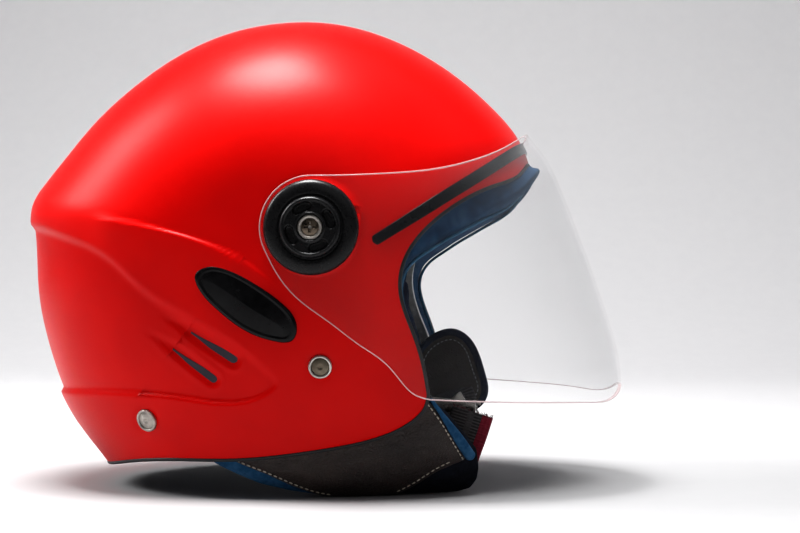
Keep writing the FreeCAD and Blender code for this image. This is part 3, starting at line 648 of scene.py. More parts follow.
def skin_fan(form, seed, boundary, edge_count, inset, rows, density=None):
    """Rows of wall points from a seed place out to each boundary point."""
    seed = np.asarray(seed, float)
    u = np.linspace(0, 1, 700)
    share = 1 - (1 - u) ** 2.2
    fan = np.zeros((rows, len(boundary), 3))
    for i, end in enumerate(boundary):
        xz = seed + share[:, None] * (end - seed)
        y = form.wall_y(xz, inset)
        if i >= edge_count or i in (0, edge_count - 1):
            y[-1] = 0.0
        p = np.stack([xz[:, 0], y, xz[:, 1]], axis=1)
        step = np.linalg.norm(np.diff(p, axis=0), axis=1)
        if density is not None:
            step = step * density((xz[1:] + xz[:-1]) / 2)
        run = np.r_[0, np.cumsum(step)]
        at = np.linspace(0, run[-1], rows + 1)[1:]
        for k in range(3):
            fan[:, i, k] = np.interp(at, run, p[:, k])
    middle = np.array([[seed[0], float(form.wall_y(seed, inset)), seed[1]]])
    return middle, fan


def wall_normals(form, points):
    """Outward directions at places on the wall, from the rule that shapes it."""
    def level(p):
        d = p[..., [0, 2]] - form.centre
        rho = np.hypot(d[..., 0], d[..., 1])
        full = form.radius(np.arctan2(d[..., 1], d[..., 0]))
        share = np.clip((rho - form.flat) / (full - form.flat), 0, None)
        return share ** SWELL + (np.abs(p[..., 1]) / form.half_width) ** SWELL
    out = np.stack([level(points + s) - level(points - s) for s in 0.3 * np.eye(3)], axis=-1)
    return out / np.linalg.norm(out, axis=-1, keepdims=True)


def two_skins(form, seed, edge, insets, edge_count, rim_count, rows,
              weight=None, density=None, relief=None):
    """A closed wall with an open edge, on both sides of the helmet."""
    verts, faces, edge_faces, starts = [], [], [], []
    for skin, (inset, row_count) in enumerate(zip(insets, rows)):
        boundary = skin_boundary(form, edge, inset, edge_count, rim_count, weight)
        outer_density = None if skin else density
        middle, fan = skin_fan(form, seed, boundary, edge_count, inset, row_count, outer_density)
        if skin == 0 and relief is not None:
            fan = relief(fan)
        base = sum(len(v) for v in verts)
        width = len(boundary)
        verts.extend([middle, fan.reshape(-1, 3)])
        fan_faces = []
        for r in range(row_count - 1):
            for c in range(width):
                d = (c + 1) % width
                lo = base + 1 + r * width
                fan_faces.append((lo + c, lo + width + c, lo + width + d, lo + d))
        for c in range(width):
            fan_faces.append((base, base + 1 + c, base + 1 + (c + 1) % width))
        faces.extend([f[::-1] for f in fan_faces] if skin else fan_faces)
        starts.append(base + 1 + (row_count - 1) * width)
    for c in range(edge_count - 1):
        a, b = starts[0] + c, starts[1] + c
        edge_faces.append((a, b, b + 1, a + 1))
    verts = np.vstack(verts)
    count = len(verts)
    flipped = verts * np.array([1, -1, 1])
    everything = faces + edge_faces
    other = [tuple(i + count for i in f[::-1]) for f in everything]
    return np.vstack([verts, flipped]), everything + other


def patch_mesh(loop, top, bottom, roll, rows=10, roll_rows=6):
    """A closed cushion-like form over a side-view loop, between surfaces y = top(xz), bottom(xz)."""
    loop = np.asarray(loop, float)
    seed = loop.mean(axis=0)
    reach = np.linalg.norm(loop - seed, axis=1)
    bends = np.linspace(0, math.pi / 2, roll_rows + 1)
    depth_in = [roll * (1 - math.cos(b)) for b in bends]
    layers = []
    for d in depth_in:
        layers.append((1 - np.minimum(d / reach, 0.9), math.sqrt(max(1 - (1 - d / roll) ** 2, 0))))
    inner = layers[-1][0]
    for k in range(1, rows + 1):
        layers.append((inner * (1 - k / rows), 1.0))
    m = len(loop)
    verts, faces = [], []
    for sign, surface in ((1, top), (-1, bottom)):
        base = sum(len(v) for v in verts)
        for k, (share, rise) in enumerate(layers[:-1]):
            xz = seed + share[:, None] * (loop - seed)
            high, low = top(xz), bottom(xz)
            mid = (high + low) / 2
            y = mid + (surface(xz) - mid) * rise
            verts.append(np.stack([xz[:, 0], y, xz[:, 1]], axis=1))
        verts.append(np.array([[seed[0], float(surface(seed[None])[0]), seed[1]]]))
        tip = base + (len(layers) - 1) * m
        for k in range(len(layers) - 2):
            for c in range(m):
                d = (c + 1) % m
                lo, hi = base + k * m, base + (k + 1) * m
                face = (lo + c, lo + d, hi + d, hi + c)
                faces.append(face if sign > 0 else face[::-1])
        lo = base + (len(layers) - 2) * m
        for c in range(m):
            face = (lo + c, lo + (c + 1) % m, tip)
            faces.append(face if sign > 0 else face[::-1])
    return np.vstack(verts), faces


def to_right(verts, faces, side):
    """The left side's points and faces, carried over to the wanted side."""
    if side == "left":
        return verts, faces
    return verts * np.array([1, -1, 1]), [f[::-1] for f in faces]


def moved(path, distance):
    """A side-view path moved sideways, to the right of its travel for a positive distance."""
    path = np.asarray(path, float)
    along = np.gradient(path, axis=0)
    along /= np.linalg.norm(along, axis=1, keepdims=True)
    return path + np.asarray(distance)[..., None] * np.stack([along[:, 1], -along[:, 0]], axis=1)


# ---- shell ---------------------------------------------------------------------------------
# Each line runs a little past the outline and is clipped to it where it is used.
bottom_line = smooth_path([(-130, 11)] + SHELL_BOTTOM, 400)
face_line = smooth_path(FACE_EDGE + [(119, 186)], 300)
shell_edge = np.vstack([bottom_line, face_line[1:]])
panel_top = smooth_path(PANEL_TOP, 90)
panel_bottom = smooth_path(PANEL_BOTTOM, 90)
panel_loop = np.vstack([panel_top, panel_bottom[1:]])
panel_nose = panel_loop[[88, 90, 92]]
band_crease = smooth_path(BAND_CREASE, 50)


def shell_relief(xz):
    """Height of the shell's moulded lines over its plain wall."""
    to_top = distance_to(panel_top, xz)[0]
    to_low = distance_to(panel_bottom, xz)[0]
    within = inside(panel_loop, xz)
    fade = smoothstep(0, 24, distance_to(panel_nose, xz)[0])
    depth = smoothstep(0, 5.0, to_top) * smoothstep(0, 1.9, to_low)
    height = -PANEL_DEPTH * np.where(within, depth, 0) * (0.45 + 0.55 * fade)
    gap, share, side = distance_to(band_crease, xz)
    ends = smoothstep(0, 0.15, share) * smoothstep(0, 0.3, 1 - share)
    ridge = BAND_RISE * smoothstep(0, 1.7, gap) * np.exp(-(gap / 20) ** 2)
    height += ends * np.where(side < 0, ridge, 0)
    for start, rear, front in VENTS:
        gap, share, _ = distance_to(np.array([start, rear, front], float), xz)
        width = 0.8 + 4.0 * smoothstep(0, 0.6, share)
        deep = smoothstep(0, 0.35, share) * (1 - smoothstep(0.25 * width, width, gap))
        lip = SCOOP_LIP * np.exp(-((gap - width - 0.6) / 1.2) ** 2) * smoothstep(0.05, 0.5, share)
        height = height - SCOOP_DEPTH * deep + lip
    return height


def shaped_shell(fan):
    xz = fan[..., [0, 2]]
    fan = fan + wall_normals(helmet, fan) * shell_relief(xz)[..., None]
    fan[..., 1] = np.where(fan[..., 1] < 0.02, 0, fan[..., 1])
    from_pivot = np.hypot(xz[..., 0] - PIVOT[0], xz[..., 1] - PIVOT[1])
    boss = 1 - smoothstep(BOSS_RADIUS, BOSS_RADIUS + 3.5, from_pivot)
    fan[..., 1] += boss * (BOSS_FACE - fan[..., 1])
    for place_at in (FRONT_RIVET, REAR_RIVET):
        away = np.hypot(xz[..., 0] - place_at[0], xz[..., 1] - place_at[1])
        dish = 1 - smoothstep(5.5, 9.5, away)
        fan[..., 1] -= 0.5 * dish
    return fan


def detail_weight(xz):
    """More columns low at the back, where the moulded panel is."""
    low_back = smoothstep(5, -45, xz[:, 0]) * smoothstep(165, 140, xz[:, 1])
    return 1 + 0.9 * low_back


def detail_rows(xz):
    low_back = smoothstep(20, -10, xz[:, 0]) * smoothstep(160, 140, xz[:, 1])
    return 1 + 1.2 * low_back


def make_shell():
    verts, faces = two_skins(
        helmet, CENTRE, shell_edge, (0, SHELL_THICK), 200, 190, (112, 9),
        weight=detail_weight, density=detail_rows, relief=shaped_shell)
    return place(finish_mesh("red_shell", verts, faces, RED), "helmet", "red_paint", "shell")


def wall_line(form, xz, inset, spacing):
    """A line on the left wall, and on over the middle to the right: points and normals."""
    p = form.on_wall(clipped(form, xz, inset), inset)
    p[-1, 1] = 0.0
    length = np.linalg.norm(np.diff(p, axis=0), axis=1).sum()
    p = resampled(p, max(int(length / spacing), 4))
    p = np.vstack([p, p[-2::-1] * np.array([1, -1, 1])])
    return p, wall_normals(form, p)


def make_edge_trim():
    """Rubber moulding round the shell's whole edge; its black band also stands in for the shadow line under
    the edge.
    """
    line = clipped(helmet, shell_edge, SHELL_THICK / 2)
    p = helmet.on_wall(line, SHELL_THICK / 2)
    p[0, 1] = p[-1, 1] = 0.0
    p = resampled(p, 330)
    loop = np.vstack([p, (p * np.array([1, -1, 1]))[-2:0:-1]])
    verts, faces = sweep_mesh(loop, wall_normals(helmet, loop), rounded_profile(4.9, 2.2, 0.9), closed=True)
    return place(finish_mesh("edge_moulding", verts, faces, RUBBER), "helmet", "black_rubber", "edge_trim")


def make_brow_strip():
    line = smooth_path(STRIP_MIDDLE + [(119, 193.4)], 300)
    p, n = wall_line(helmet, line, 0.0, 0.9)
    run = np.r_[0, np.cumsum(np.linalg.norm(np.diff(p, axis=0), axis=1))]
    end = np.minimum(run, run[-1] - run)
    round_end = np.sqrt(np.clip(1 - (1 - np.minimum(end / 1.6, 1)) ** 2, 0.02, 1))
    width = (5.4 + 0.9 * smoothstep(0, 40, end)) * round_end
    unit = rounded_profile(1.0, 1.0, 0.16, steps=6)
    profile = np.zeros((len(p), len(unit), 2))
    profile[..., 0] = unit[None, :, 1] * 1.6 * np.maximum(round_end, 0.5)[:, None] + 0.35
    profile[..., 1] = unit[None, :, 0] * width[:, None]
    verts, faces = sweep_mesh(p, n, profile)
    return place(finish_mesh("brow_line", verts, faces, GLOSS_BLACK), "helmet", "black_gloss", "brow_strip")


def make_badge(side):
    loop = smooth_path(BADGE, 160, closed=True)
    seed = loop.mean(axis=0)

    def top(xz):
        to_rim = distance_to(np.vstack([loop[::4], loop[:1]]), xz)[0]
        dome = 1.1 + 0.9 * np.clip(to_rim / 16, 0, 1) ** 0.7
        rim = 0.42 * np.exp(-((to_rim - 1.5) / 0.55) ** 2)
        return helmet.wall_y(xz) + dome + rim

    def bottom(xz):
        return helmet.wall_y(xz) - 1.5
    verts, faces = patch_mesh(loop, top, bottom, 0.9, rows=26, roll_rows=5)
    verts, faces = to_right(verts, faces, side)
    piece = finish_mesh("side_emblem_plate_" + side, verts, faces, GLOSS_BLACK)
    return place(piece, "helmet", "black_gloss", "side_badge_" + side)


def make_vent(side):
    """Dark grille plates, pointed behind and round in front, on the floors of the two scoops."""
    pieces = []
    for start, rear, front in VENTS:
        rear, front = np.array(rear), np.array(front)
        along = (front - rear) / np.linalg.norm(front - rear)
        across = np.array([-along[1], along[0]])
        run = np.linspace(0, 1, 26)
        half = 0.5 + 2.0 * smoothstep(0, 0.9, run)
        upper = rear + run[:, None] * (front - rear) + half[:, None] * across
        lower = rear + run[:, None] * (front - rear) - half[:, None] * across
        turn = np.linspace(math.pi / 2, -math.pi / 2, 12)[1:-1]
        nose = front + half[-1] * (np.cos(turn)[:, None] * along + np.sin(turn)[:, None] * across)
        loop = resampled(np.vstack([upper, nose, lower[::-1], upper[:1]]), 120, closed=True)

        def top(xz):
            return helmet.wall_y(xz) + shell_relief(xz) * 1.06 + 0.12

        def bottom(xz):
            return helmet.wall_y(xz) - 3.6
        pieces.append(to_right(*patch_mesh(loop, top, bottom, 0.25, rows=8, roll_rows=3), side))
    (v0, f0), (v1, f1) = pieces
    faces = f0 + [tuple(i + len(v0) for i in f) for f in f1]
    piece = finish_mesh("vent_grilles_" + side, np.vstack([v0, v1]), faces, SLATE)
    return place(piece, "helmet", "slate_plastic", "vent_insert_" + side)


# ---- visor ----------------------------------------------------------------------------------
def make_visor():
    """Clear sheet whose heel goes round the hinge, with its edge, coloured as a painted highlight, as a piece
    of its own.
    """
    turns = np.radians(np.linspace(205, 92, 14))
    heel = np.array(PIVOT) + VISOR_HEEL * np.stack([np.cos(turns), np.sin(turns)], axis=1)
    back = smooth_path(VISOR_BACK + [tuple(heel[0])], 160)
    top = smooth_path([tuple(heel[-1])] + VISOR_TOP + [(124, 208)], 160)
    foot = smooth_path(VISOR_FOOT, 160)
    edge = np.vstack([top[::-1], heel[::-1][1:-1], back[::-1], foot[1:]])
    verts, faces = two_skins(
        visor_form, (62, 112), edge, (0, VISOR_THICK), 330, 110, (60, 60))
    place(finish_mesh("clear_shield", verts, faces, CLEAR), "visor", "clear_visor", "visor_shield")
    place(make_visor_rim(edge), "visor", "clear_visor")


def make_visor_rim(edge):
    """Polished edge of the sheet, whose pale pink, half-opaque colour is a painted highlight along its whole
    outline.
    """
    line = clipped(visor_form, edge, VISOR_THICK / 2)
    p = visor_form.on_wall(line, VISOR_THICK / 2)
    p[0, 1] = p[-1, 1] = 0.0
    p = resampled(p, 520)
    loop = np.vstack([p, (p * np.array([1, -1, 1]))[-2:0:-1]])
    profile = rounded_profile(VISOR_THICK + 0.1, 0.5, 0.22, steps=4)
    verts, faces = sweep_mesh(loop, wall_normals(visor_form, loop), profile, closed=True)
    return finish_mesh("clear_shield_rim", verts, faces, VISOR_EDGE_HIGHLIGHT)


# ---- hinge caps and rivets ---------------------------------------------------------------
def make_hinge_cap(side):
    """Round cap with a raised hub, four bean-shaped recesses and a seat for the screw."""
    y_sign = SIDES[side]
    rings = [
        (24.4, 0.0), (24.5, 0.5), (24.5, 1.9), (24.2, 2.9), (23.5, 3.8), (22.6, 4.4), (21.4, 4.8),
        (19.5, 5.1),
        (17.6, 5.2), (17.0, 5.05), (16.6, 4.6), (16.2, 4.55), (15.9, 5.0), (15.75, 6.4), (15.5, 7.6),
        (15.1, 8.3), (14.5, 8.75), (13.9, 8.8), (13.5, 8.55), (13.3, 8.15),
    ]
    rings += [(r, 8.05) for r in np.arange(13.1, 8.1, -0.22)]
    rings += [(7.9, 8.05), (7.6, 8.3), (7.3, 8.6), (7.0, 8.6), (6.8, 8.3), (6.7, 6.5), (6.3, 6.2)]
    beans = np.radians([23, 113, 203, 293])

    def surface(r, turn, height):
        if not 8.15 < r < 13.2:
            return height
        swing = np.min(np.abs((turn[:, None] - beans[None] + math.pi) % (2 * math.pi) - math.pi), axis=1)
        beyond = np.maximum(swing - math.radians(15), 0) * 10.7
        gap = np.hypot(r - 10.7, beyond)
        return height - 2.4 * (1 - smoothstep(1.7, 2.5, gap))
    radii, heights = zip(*rings)
    verts, faces = lathe_mesh((PIVOT[0], y_sign * CAP_FACE, PIVOT[1]), (0, y_sign, 0),
                              heights, radii, segments=192, shape=surface)
    piece = finish_mesh("hinge_cover_" + side, verts, faces, CAP_BLACK)
    return place(piece, "helmet", "black_plastic", "hinge_cap_" + side)


def make_screw(side):
    """Dark cross-head screw in a paler dished washer."""
    y_sign = SIDES[side]
    seat = CAP_FACE + 6.4
    washer = [(6.5, 0.0), (6.5, 0.9), (6.2, 1.3), (5.6, 1.45), (4.9, 1.2), (4.5, 0.8), (4.3, 0.2)]
    head = [(4.35, 0.0), (4.35, 0.9)] + [(r, 1.9 - 0.055 * r * r) for r in np.arange(4.2, 0.15, -0.16)]

    def cross(r, turn, height):
        u, v = np.abs(r * np.cos(turn)), np.abs(r * np.sin(turn))
        narrow, long = np.minimum(u, v), np.maximum(u, v)
        arm = (1 - smoothstep(0.35, 0.75, narrow)) * (1 - smoothstep(2.1, 2.9, long))
        return height - 1.5 * arm - 0.5 * (1 - smoothstep(0.4, 1.2, long))
    parts = (("washer", washer, PALE_NICKEL, None), ("screw", head, SCREW, cross))
    centre = (PIVOT[0], y_sign * seat, PIVOT[1])
    for label, rings, material, shape in parts:
        radii, heights = zip(*rings)
        verts, faces = lathe_mesh(centre, (0, y_sign, 0), heights, radii, 96, shape)
        piece = finish_mesh("hinge_" + label + "_" + side, verts, faces, material)
        nodes = ["hinge_screw_" + side] if label == "screw" else []
        place(piece, "helmet", "dark_nickel", *nodes)


def make_rivet(side, name, at, core, rim, node, slot):
    """Rivet head: a rolled pale rim round a dished, slightly domed middle."""
    spot = helmet.on_wall(np.array([at], float))[0]
    out = wall_normals(helmet, spot[None])[0]
    flip = np.array([1, SIDES[side], 1])
    ring = [
        (6.2, -1.5), (6.2, 0.3), (6.1, 0.8), (5.8, 1.15), (5.4, 1.3),
        (5.0, 1.2), (4.7, 0.9), (4.55, 0.5), (4.5, -0.5),
    ]
    middle = [
        (4.6, -1.0), (4.6, 0.45), (4.2, 0.62), (3.4, 0.8), (2.4, 1.0),
        (1.6, 1.05), (1.2, 0.95), (0.8, 0.7), (0.4, 0.62),
    ]
    pieces = []
    for label, rings, material in (("rim", ring, rim), ("head", middle, core)):
        radii, heights = zip(*rings)
        verts, faces = lathe_mesh(spot * flip, out * flip, heights, radii, segments=48)
        pieces.append(finish_mesh(name + "_" + label + "_" + side, verts, faces, material))
    place(pieces[0], "helmet", slot)
    place(pieces[1], "helmet", slot, node + "_" + side)


# ---- linings ---------------------------------------------------------------------------------
# How far the face roll stands out at each point of FACE_EDGE.
LINING_SWELL = [1.2, 1.4, 1.6, 1.8, 2.2, 4, 9, 13, 15.5, 15.5, 13, 10.5]


def swell_along(path):
    """The roll's depth at each point of a path, eased between the given ones."""
    knots = np.array(FACE_EDGE, float)
    out = []
    for spot in path[:, [0, 2]]:
        k = np.argsort(np.linalg.norm(knots - spot, axis=1))[:2]
        gap = np.linalg.norm(knots[k] - spot, axis=1) + 1e-6
        out.append(np.sum(np.array(LINING_SWELL)[k] / gap) / np.sum(1 / gap))
    out = np.array(out)
    kernel = np.hanning(25) / np.hanning(25).sum()
    return np.convolve(np.pad(out, 12, mode="edge"), kernel, "valid")


def face_path(inset, count):
    p = helmet.on_wall(clipped(helmet, face_line, inset), inset)
    p[-1, 1] = 0.0
    p = resampled(p, count)
    return np.vstack([p, (p * np.array([1, -1, 1]))[-2::-1]])


def make_face_lining():
    """Velour roll round the face opening, deep at the brow, with a pale piping line."""
    p = face_path(0.0, 150)
    n = wall_normals(helmet, p)
    swell = swell_along(p)
    unit = rounded_profile(1, 1, 0.5, steps=9)
    profile = np.zeros((len(p), len(unit), 2))
    deep = 30.0
    wide = swell + 9.0
    corner = np.minimum(wide / 2 - 0.3, 7.0)
    for i in range(len(p)):
        profile[i] = rounded_profile(deep, wide[i], corner[i], steps=9)
        profile[i, :, 0] += 2.6 + deep / 2
        profile[i, :, 1] += wide[i] / 2 - 9.0
        brow = 8.0 * smoothstep(150, 172, p[i, 2]) * math.exp(-(p[i, 1] / 75) ** 2)
        outer = smoothstep(22, 3, profile[i, :, 0])
        profile[i, :, 0] -= brow * smoothstep(1.0, 6.0, profile[i, :, 1]) * outer
    verts, faces = sweep_mesh(p, -n, profile)
    # The roll's darker blue is painted shade under the brim.
    roll = finish_mesh("face_roll", verts, faces, SHADED_BROW_BLUE)
    place(roll, "helmet", "blue_velour", "face_lining")
    along = np.gradient(p, axis=0)
    along /= np.linalg.norm(along, axis=1, keepdims=True)
    out = np.cross(along, -n)
    line = p - n * 5.2 + out * (swell + 0.4)[:, None]
    verts, faces = sweep_mesh(line, -n, oval_profile(1.7, 1.7, 12))
    piping = finish_mesh("face_piping", verts, faces, PIPING)
    place(piping, "helmet", "blue_velour")
    return roll


def make_rear_lining():
    line = clipped(helmet, bottom_line, 5.0)
    line = line[line[:, 0] < -56]
    p = helmet.on_wall(line, 5.0)
    p[0, 1] = 0.0
    p = resampled(p, 90)[::-1]
    p = np.vstack([p, (p * np.array([1, -1, 1]))[-2::-1]])
    n = wall_normals(helmet, p)
    profile = rounded_profile(30, 14, 5.5, steps=8)
    profile[:, 0] += 15
    profile[:, 1] *= -1
    verts, faces = sweep_mesh(p, -n, profile + np.array([0, 4.5]))
    piece = finish_mesh("rear_roll", verts, faces, NAVY)
    place(piece, "helmet", "navy_fabric", "rear_lining")
    return piece


def make_crown_pad():
    rear = [(-185, 124), (-160, 124), (-60, 123), (10, 122), (36, 124)]
    front = moved(face_line, -7.0)
    front = front[front[:, 1] > 128]
    edge = np.vstack([smooth_path(rear, 60), front])
    insets = (LINER_INNER + 0.3, LINER_INNER + PAD_THICK - 1.0)
    verts, faces = two_skins(helmet, (-24, 170), edge, insets, 120, 120, (30, 60))
    piece = finish_mesh("crown_cushion", verts, faces, NAVY)
    place(piece, "helmet", "navy_fabric", "crown_pad")
    return piece


def make_neck_roll():
    low = bottom_line[bottom_line[:, 0] < -46] + np.array([0, 9.0])
    edge = np.vstack([low, smooth_path([(-46, 40), (-46, 62), (-60, 78), (-100, 80), (-185, 80)], 60)])
    insets = (LINER_INNER + 0.3, LINER_INNER + 13)
    verts, faces = two_skins(helmet, (-85, 54), edge, insets, 110, 60, (14, 30))
    piece = finish_mesh("neck_cushion", verts, faces, NAVY)
    place(piece, "helmet", "navy_fabric", "neck_roll")
    return piece


def puffed(piece, swell, cap):
    """Cloth inflation of a padded piece; no point may move further than cap millimetres."""
    remesh = piece.modifiers.new("even", "REMESH")
    remesh.mode = "VOXEL"
    remesh.voxel_size = PAD_VOXEL * MM
    bpy.context.view_layer.update()
    plain = bpy.data.meshes.new_from_object(piece.evaluated_get(bpy.context.evaluated_depsgraph_get()))
    piece.modifiers.clear()
    piece.data = plain
    start = np.array([v.co for v in plain.vertices])
    cloth = piece.modifiers.new("swell", "CLOTH")
    cloth.settings.use_pressure = True
    cloth.settings.uniform_pressure_force = swell
    cloth.settings.effector_weights.gravity = 0
    cloth.settings.quality = 5
    scene = bpy.context.scene
    for step in range(1, 16):
        scene.frame_set(step)
    moved_mesh = bpy.data.meshes.new_from_object(piece.evaluated_get(bpy.context.evaluated_depsgraph_get()))
    piece.modifiers.clear()
    scene.frame_set(1)
    end = np.array([v.co for v in moved_mesh.vertices])
    shift = end - start
    length = np.linalg.norm(shift, axis=1, keepdims=True)
    shift *= np.minimum(1, cap * MM / np.maximum(length, 1e-9))
    plain.vertices.foreach_set("co", (start + shift).ravel().astype(np.float32))
    plain.update()
    smooth = piece.modifiers.new("finer", "SUBSURF")
    smooth.levels = smooth.render_levels = 1
    final = bpy.data.meshes.new_from_object(piece.evaluated_get(bpy.context.evaluated_depsgraph_get()))
    piece.modifiers.clear()
    piece.data = final
    final.shade_smooth()


def make_cheek_pad(side):
    corners = [
        (-30, 66), (-31, 95), (-22, 116), (5, 121), (32, 121), (43, 112), (45, 98), (49, 84),
        (46, 68), (26, 60), (4, 56), (-18, 58),
    ]
    loop = smooth_path(corners, 90, closed=True)

    def outer(xz):
        return helmet.wall_y(xz, LINER_INNER + 0.6)

    def inner(xz):
        return helmet.wall_y(xz, LINER_INNER + 16)
    verts, faces = patch_mesh(loop, outer, inner, 7.0, rows=12, roll_rows=8)
    verts, faces = to_right(verts, faces, side)
    piece = finish_mesh("cheek_cushion_" + side, verts, faces, NAVY)
    puffed(piece, 3.0, 2.5)
    place(piece, "helmet", "navy_fabric", "cheek_pad_" + side)
    return piece


# ---- neck skirts -------------------------------------------------------------------------------
def soft_loop(points, count, window):
    """A closed loop with its corners eased over a given length."""
    p = np.vstack([points, points[:1]])
    fine = resampled(np.array(p, float), 720, closed=True)
    total = np.linalg.norm(np.diff(np.vstack([fine, fine[:1]]), axis=0), axis=1).sum()
    w = max(int(window / total * 720) | 1, 3)
    kernel = np.hanning(w + 2)[1:-1]
    kernel /= kernel.sum()
    padded = np.vstack([fine[-w:], fine, fine[:w]])
    eased = np.stack([np.convolve(padded[:, k], kernel, "same")[w:-w] for k in range(2)], axis=1)
    return resampled(np.vstack([eased, eased[:1]]), count, closed=True)


LEATHER_LOOP = [
    (-46, 24), (-41.9, 20.2), (-27.1, 13.6), (-11.2, 6.4), (4.6, 0.6), (14, 0.1), (30, -0.2),
    (46, 1.0), (55.5, 5.8), (66, 12.6), (73, 15.6), (81.2, 19.0), (75.4, 30.6), (69.0, 41.8),
    (63.4, 49.5), (55, 52), (37, 43),
    (16, 37), (-5, 33), (-30, 30),
]
HEM_LOOP = [
    (-57.5, 25), (-56, 20.6), (-48.7, 16.2), (-38.1, 11.2), (-27.5, 6.8), (-11.5, 3.0), (4.3, 0.4),
    (30, 0.4), (46, 3), (58, 10), (68, 17), (72, 26), (62, 44), (37, 42), (16, 36), (-5, 32), (-30, 30),
]
FOOT_LOOP = [
    (40, 0.3), (58, 0.0), (76, 0.6), (83, 2.6), (86.6, 7.5), (87.6, 14), (86.5, 24), (80, 33),
    (71, 45), (63, 51), (55, 44), (44, 20),
]


def hang(xz):
    """How far a place is below the shell's edge, in millimetres."""
    gap, _, side = distance_to(bottom_line[::6], xz)
    low = np.interp(xz[:, 0], bottom_line[:, 0], bottom_line[:, 1])
    return np.where(xz[:, 1] < low, gap, 0)


def make_skirt(side):
    """Leather cover, velour hem and foot: each with its loop, insets, edge roll and puff."""
    layers = [
        ("skirt_leather_", LEATHER_LOOP, 5.2, 8.5, 2.4, 2.6, LEATHER, "brown_leather", "neck_skirt_"),
        ("skirt_velour_", HEM_LOOP, 6.6, 17.2, 5.0, 1.6, BLUE, "blue_velour", "skirt_hem_"),
        ("skirt_foot_", FOOT_LOOP, 7.0, 17.6, 5.0, 1.2, BLACK_CLOTH, "navy_fabric", "skirt_lining_"),
    ]
    for name, loop, high, low, roll, puff, material, slot, node in layers:
        outline = soft_loop(loop, 260, 5.0)

        def top(xz, high=high, puff=puff, loop=outline):
            to_rim = distance_to(np.vstack([loop[::5], loop[:1]]), xz)[0]
            rise = puff * smoothstep(2.0, 11, hang(xz)) * smoothstep(0, 9, to_rim)
            return np.maximum(helmet.wall_y(xz, high) + rise, 67.5)

        def bottom(xz, low=low):
            return np.maximum(helmet.wall_y(xz, low), 66.0)
        verts, faces = patch_mesh(outline, top, bottom, roll, rows=26, roll_rows=6)
        verts, faces = to_right(verts, faces, side)
        piece = finish_mesh(name + side, verts, faces, material)
        place(piece, "helmet", slot, node + side)


def skirt_line(points, inset, side, count=160, lift=0.0):
    path = smooth_path(points, count)
    p = helmet.on_wall(path, inset)
    rise = 2.6 * smoothstep(2.0, 11, hang(path)) * 0.15
    p[:, 1] = np.maximum(p[:, 1] + rise + lift, 67.5)
    return resampled(p, count) * np.array([1, SIDES[side], 1])


def make_skirt_piping(side):
    """Velour piping down the skirt's front edge, thicker towards its foot."""
    front = [(63.2, 52), (65.6, 48.6), (70.6, 41.0), (76.8, 31.2), (82.4, 22.2), (84.2, 19.4)]
    p = skirt_line(front, 6.6, side, 110, 0.6)
    run = np.linspace(0, 1, len(p))
    width = 2.0 + 3.8 * smoothstep(0.05, 0.75, run)
    end = np.minimum((1 - run) * 60, 3.0) / 3.0
    width *= np.sqrt(np.clip(1 - (1 - end) ** 2, 0.03, 1))
    unit = oval_profile(1, 1, 18)
    profile = np.stack([unit] * len(p)) * width[:, None, None]
    profile[..., 0] = unit[None, :, 0] * (width * 0.55 + 1.6)[:, None]
    across = np.array([0, SIDES[side], 0.0])
    verts, faces = sweep_mesh(p, across, profile)
    piece = finish_mesh("skirt_cord_" + side, verts, faces, BLUE)
    place(piece, "helmet", "blue_velour", "skirt_piping_" + side)


# ---- stitches, made along a line by nodes ---------------------------------------------------------
def stitch_nodes():
    """Nodes that set a bead of thread at each step along a line."""
    tree = bpy.data.node_groups.new("stitch_row", "GeometryNodeTree")
    face = tree.interface
    sockets = {}
    face.new_socket("Line", in_out="INPUT", socket_type="NodeSocketGeometry")
    for label in ("Pitch", "Length", "Thickness"):
        sockets[label] = face.new_socket(label, in_out="INPUT", socket_type="NodeSocketFloat").identifier
    sockets["Thread"] = face.new_socket("Thread", in_out="INPUT", socket_type="NodeSocketMaterial").identifier
    face.new_socket("Stitches", in_out="OUTPUT", socket_type="NodeSocketGeometry")
    new = tree.nodes.new
    start, end = new("NodeGroupInput"), new("NodeGroupOutput")
    points = new("GeometryNodeCurveToPoints")
    points.mode = "LENGTH"
    bead = new("GeometryNodeMeshUVSphere")
    bead.inputs["Segments"].default_value = 8
    bead.inputs["Rings"].default_value = 6
    bead.inputs["Radius"].default_value = 0.5
    size = new("ShaderNodeCombineXYZ")
    put = new("GeometryNodeInstanceOnPoints")
    real = new("GeometryNodeRealizeInstances")
    thread = new("GeometryNodeSetMaterial")
    smooth = new("GeometryNodeSetShadeSmooth")
    join = tree.links.new
    join(start.outputs["Line"], points.inputs["Curve"])
    join(start.outputs["Pitch"], points.inputs["Length"])
    join(points.outputs["Points"], put.inputs["Points"])
    join(points.outputs["Rotation"], put.inputs["Rotation"])
    join(bead.outputs["Mesh"], put.inputs["Instance"])
    join(start.outputs["Thickness"], size.inputs["X"])
    join(start.outputs["Thickness"], size.inputs["Y"])
    join(start.outputs["Length"], size.inputs["Z"])
    join(size.outputs["Vector"], put.inputs["Scale"])
    join(put.outputs["Instances"], real.inputs["Geometry"])
    join(real.outputs["Geometry"], smooth.inputs["Geometry"])
    join(smooth.outputs["Geometry"], thread.inputs["Geometry"])
    join(start.outputs["Thread"], thread.inputs["Material"])
    join(thread.outputs["Geometry"], end.inputs["Stitches"])
    return tree, sockets


STITCH_TREE, STITCH_SOCKETS = stitch_nodes()


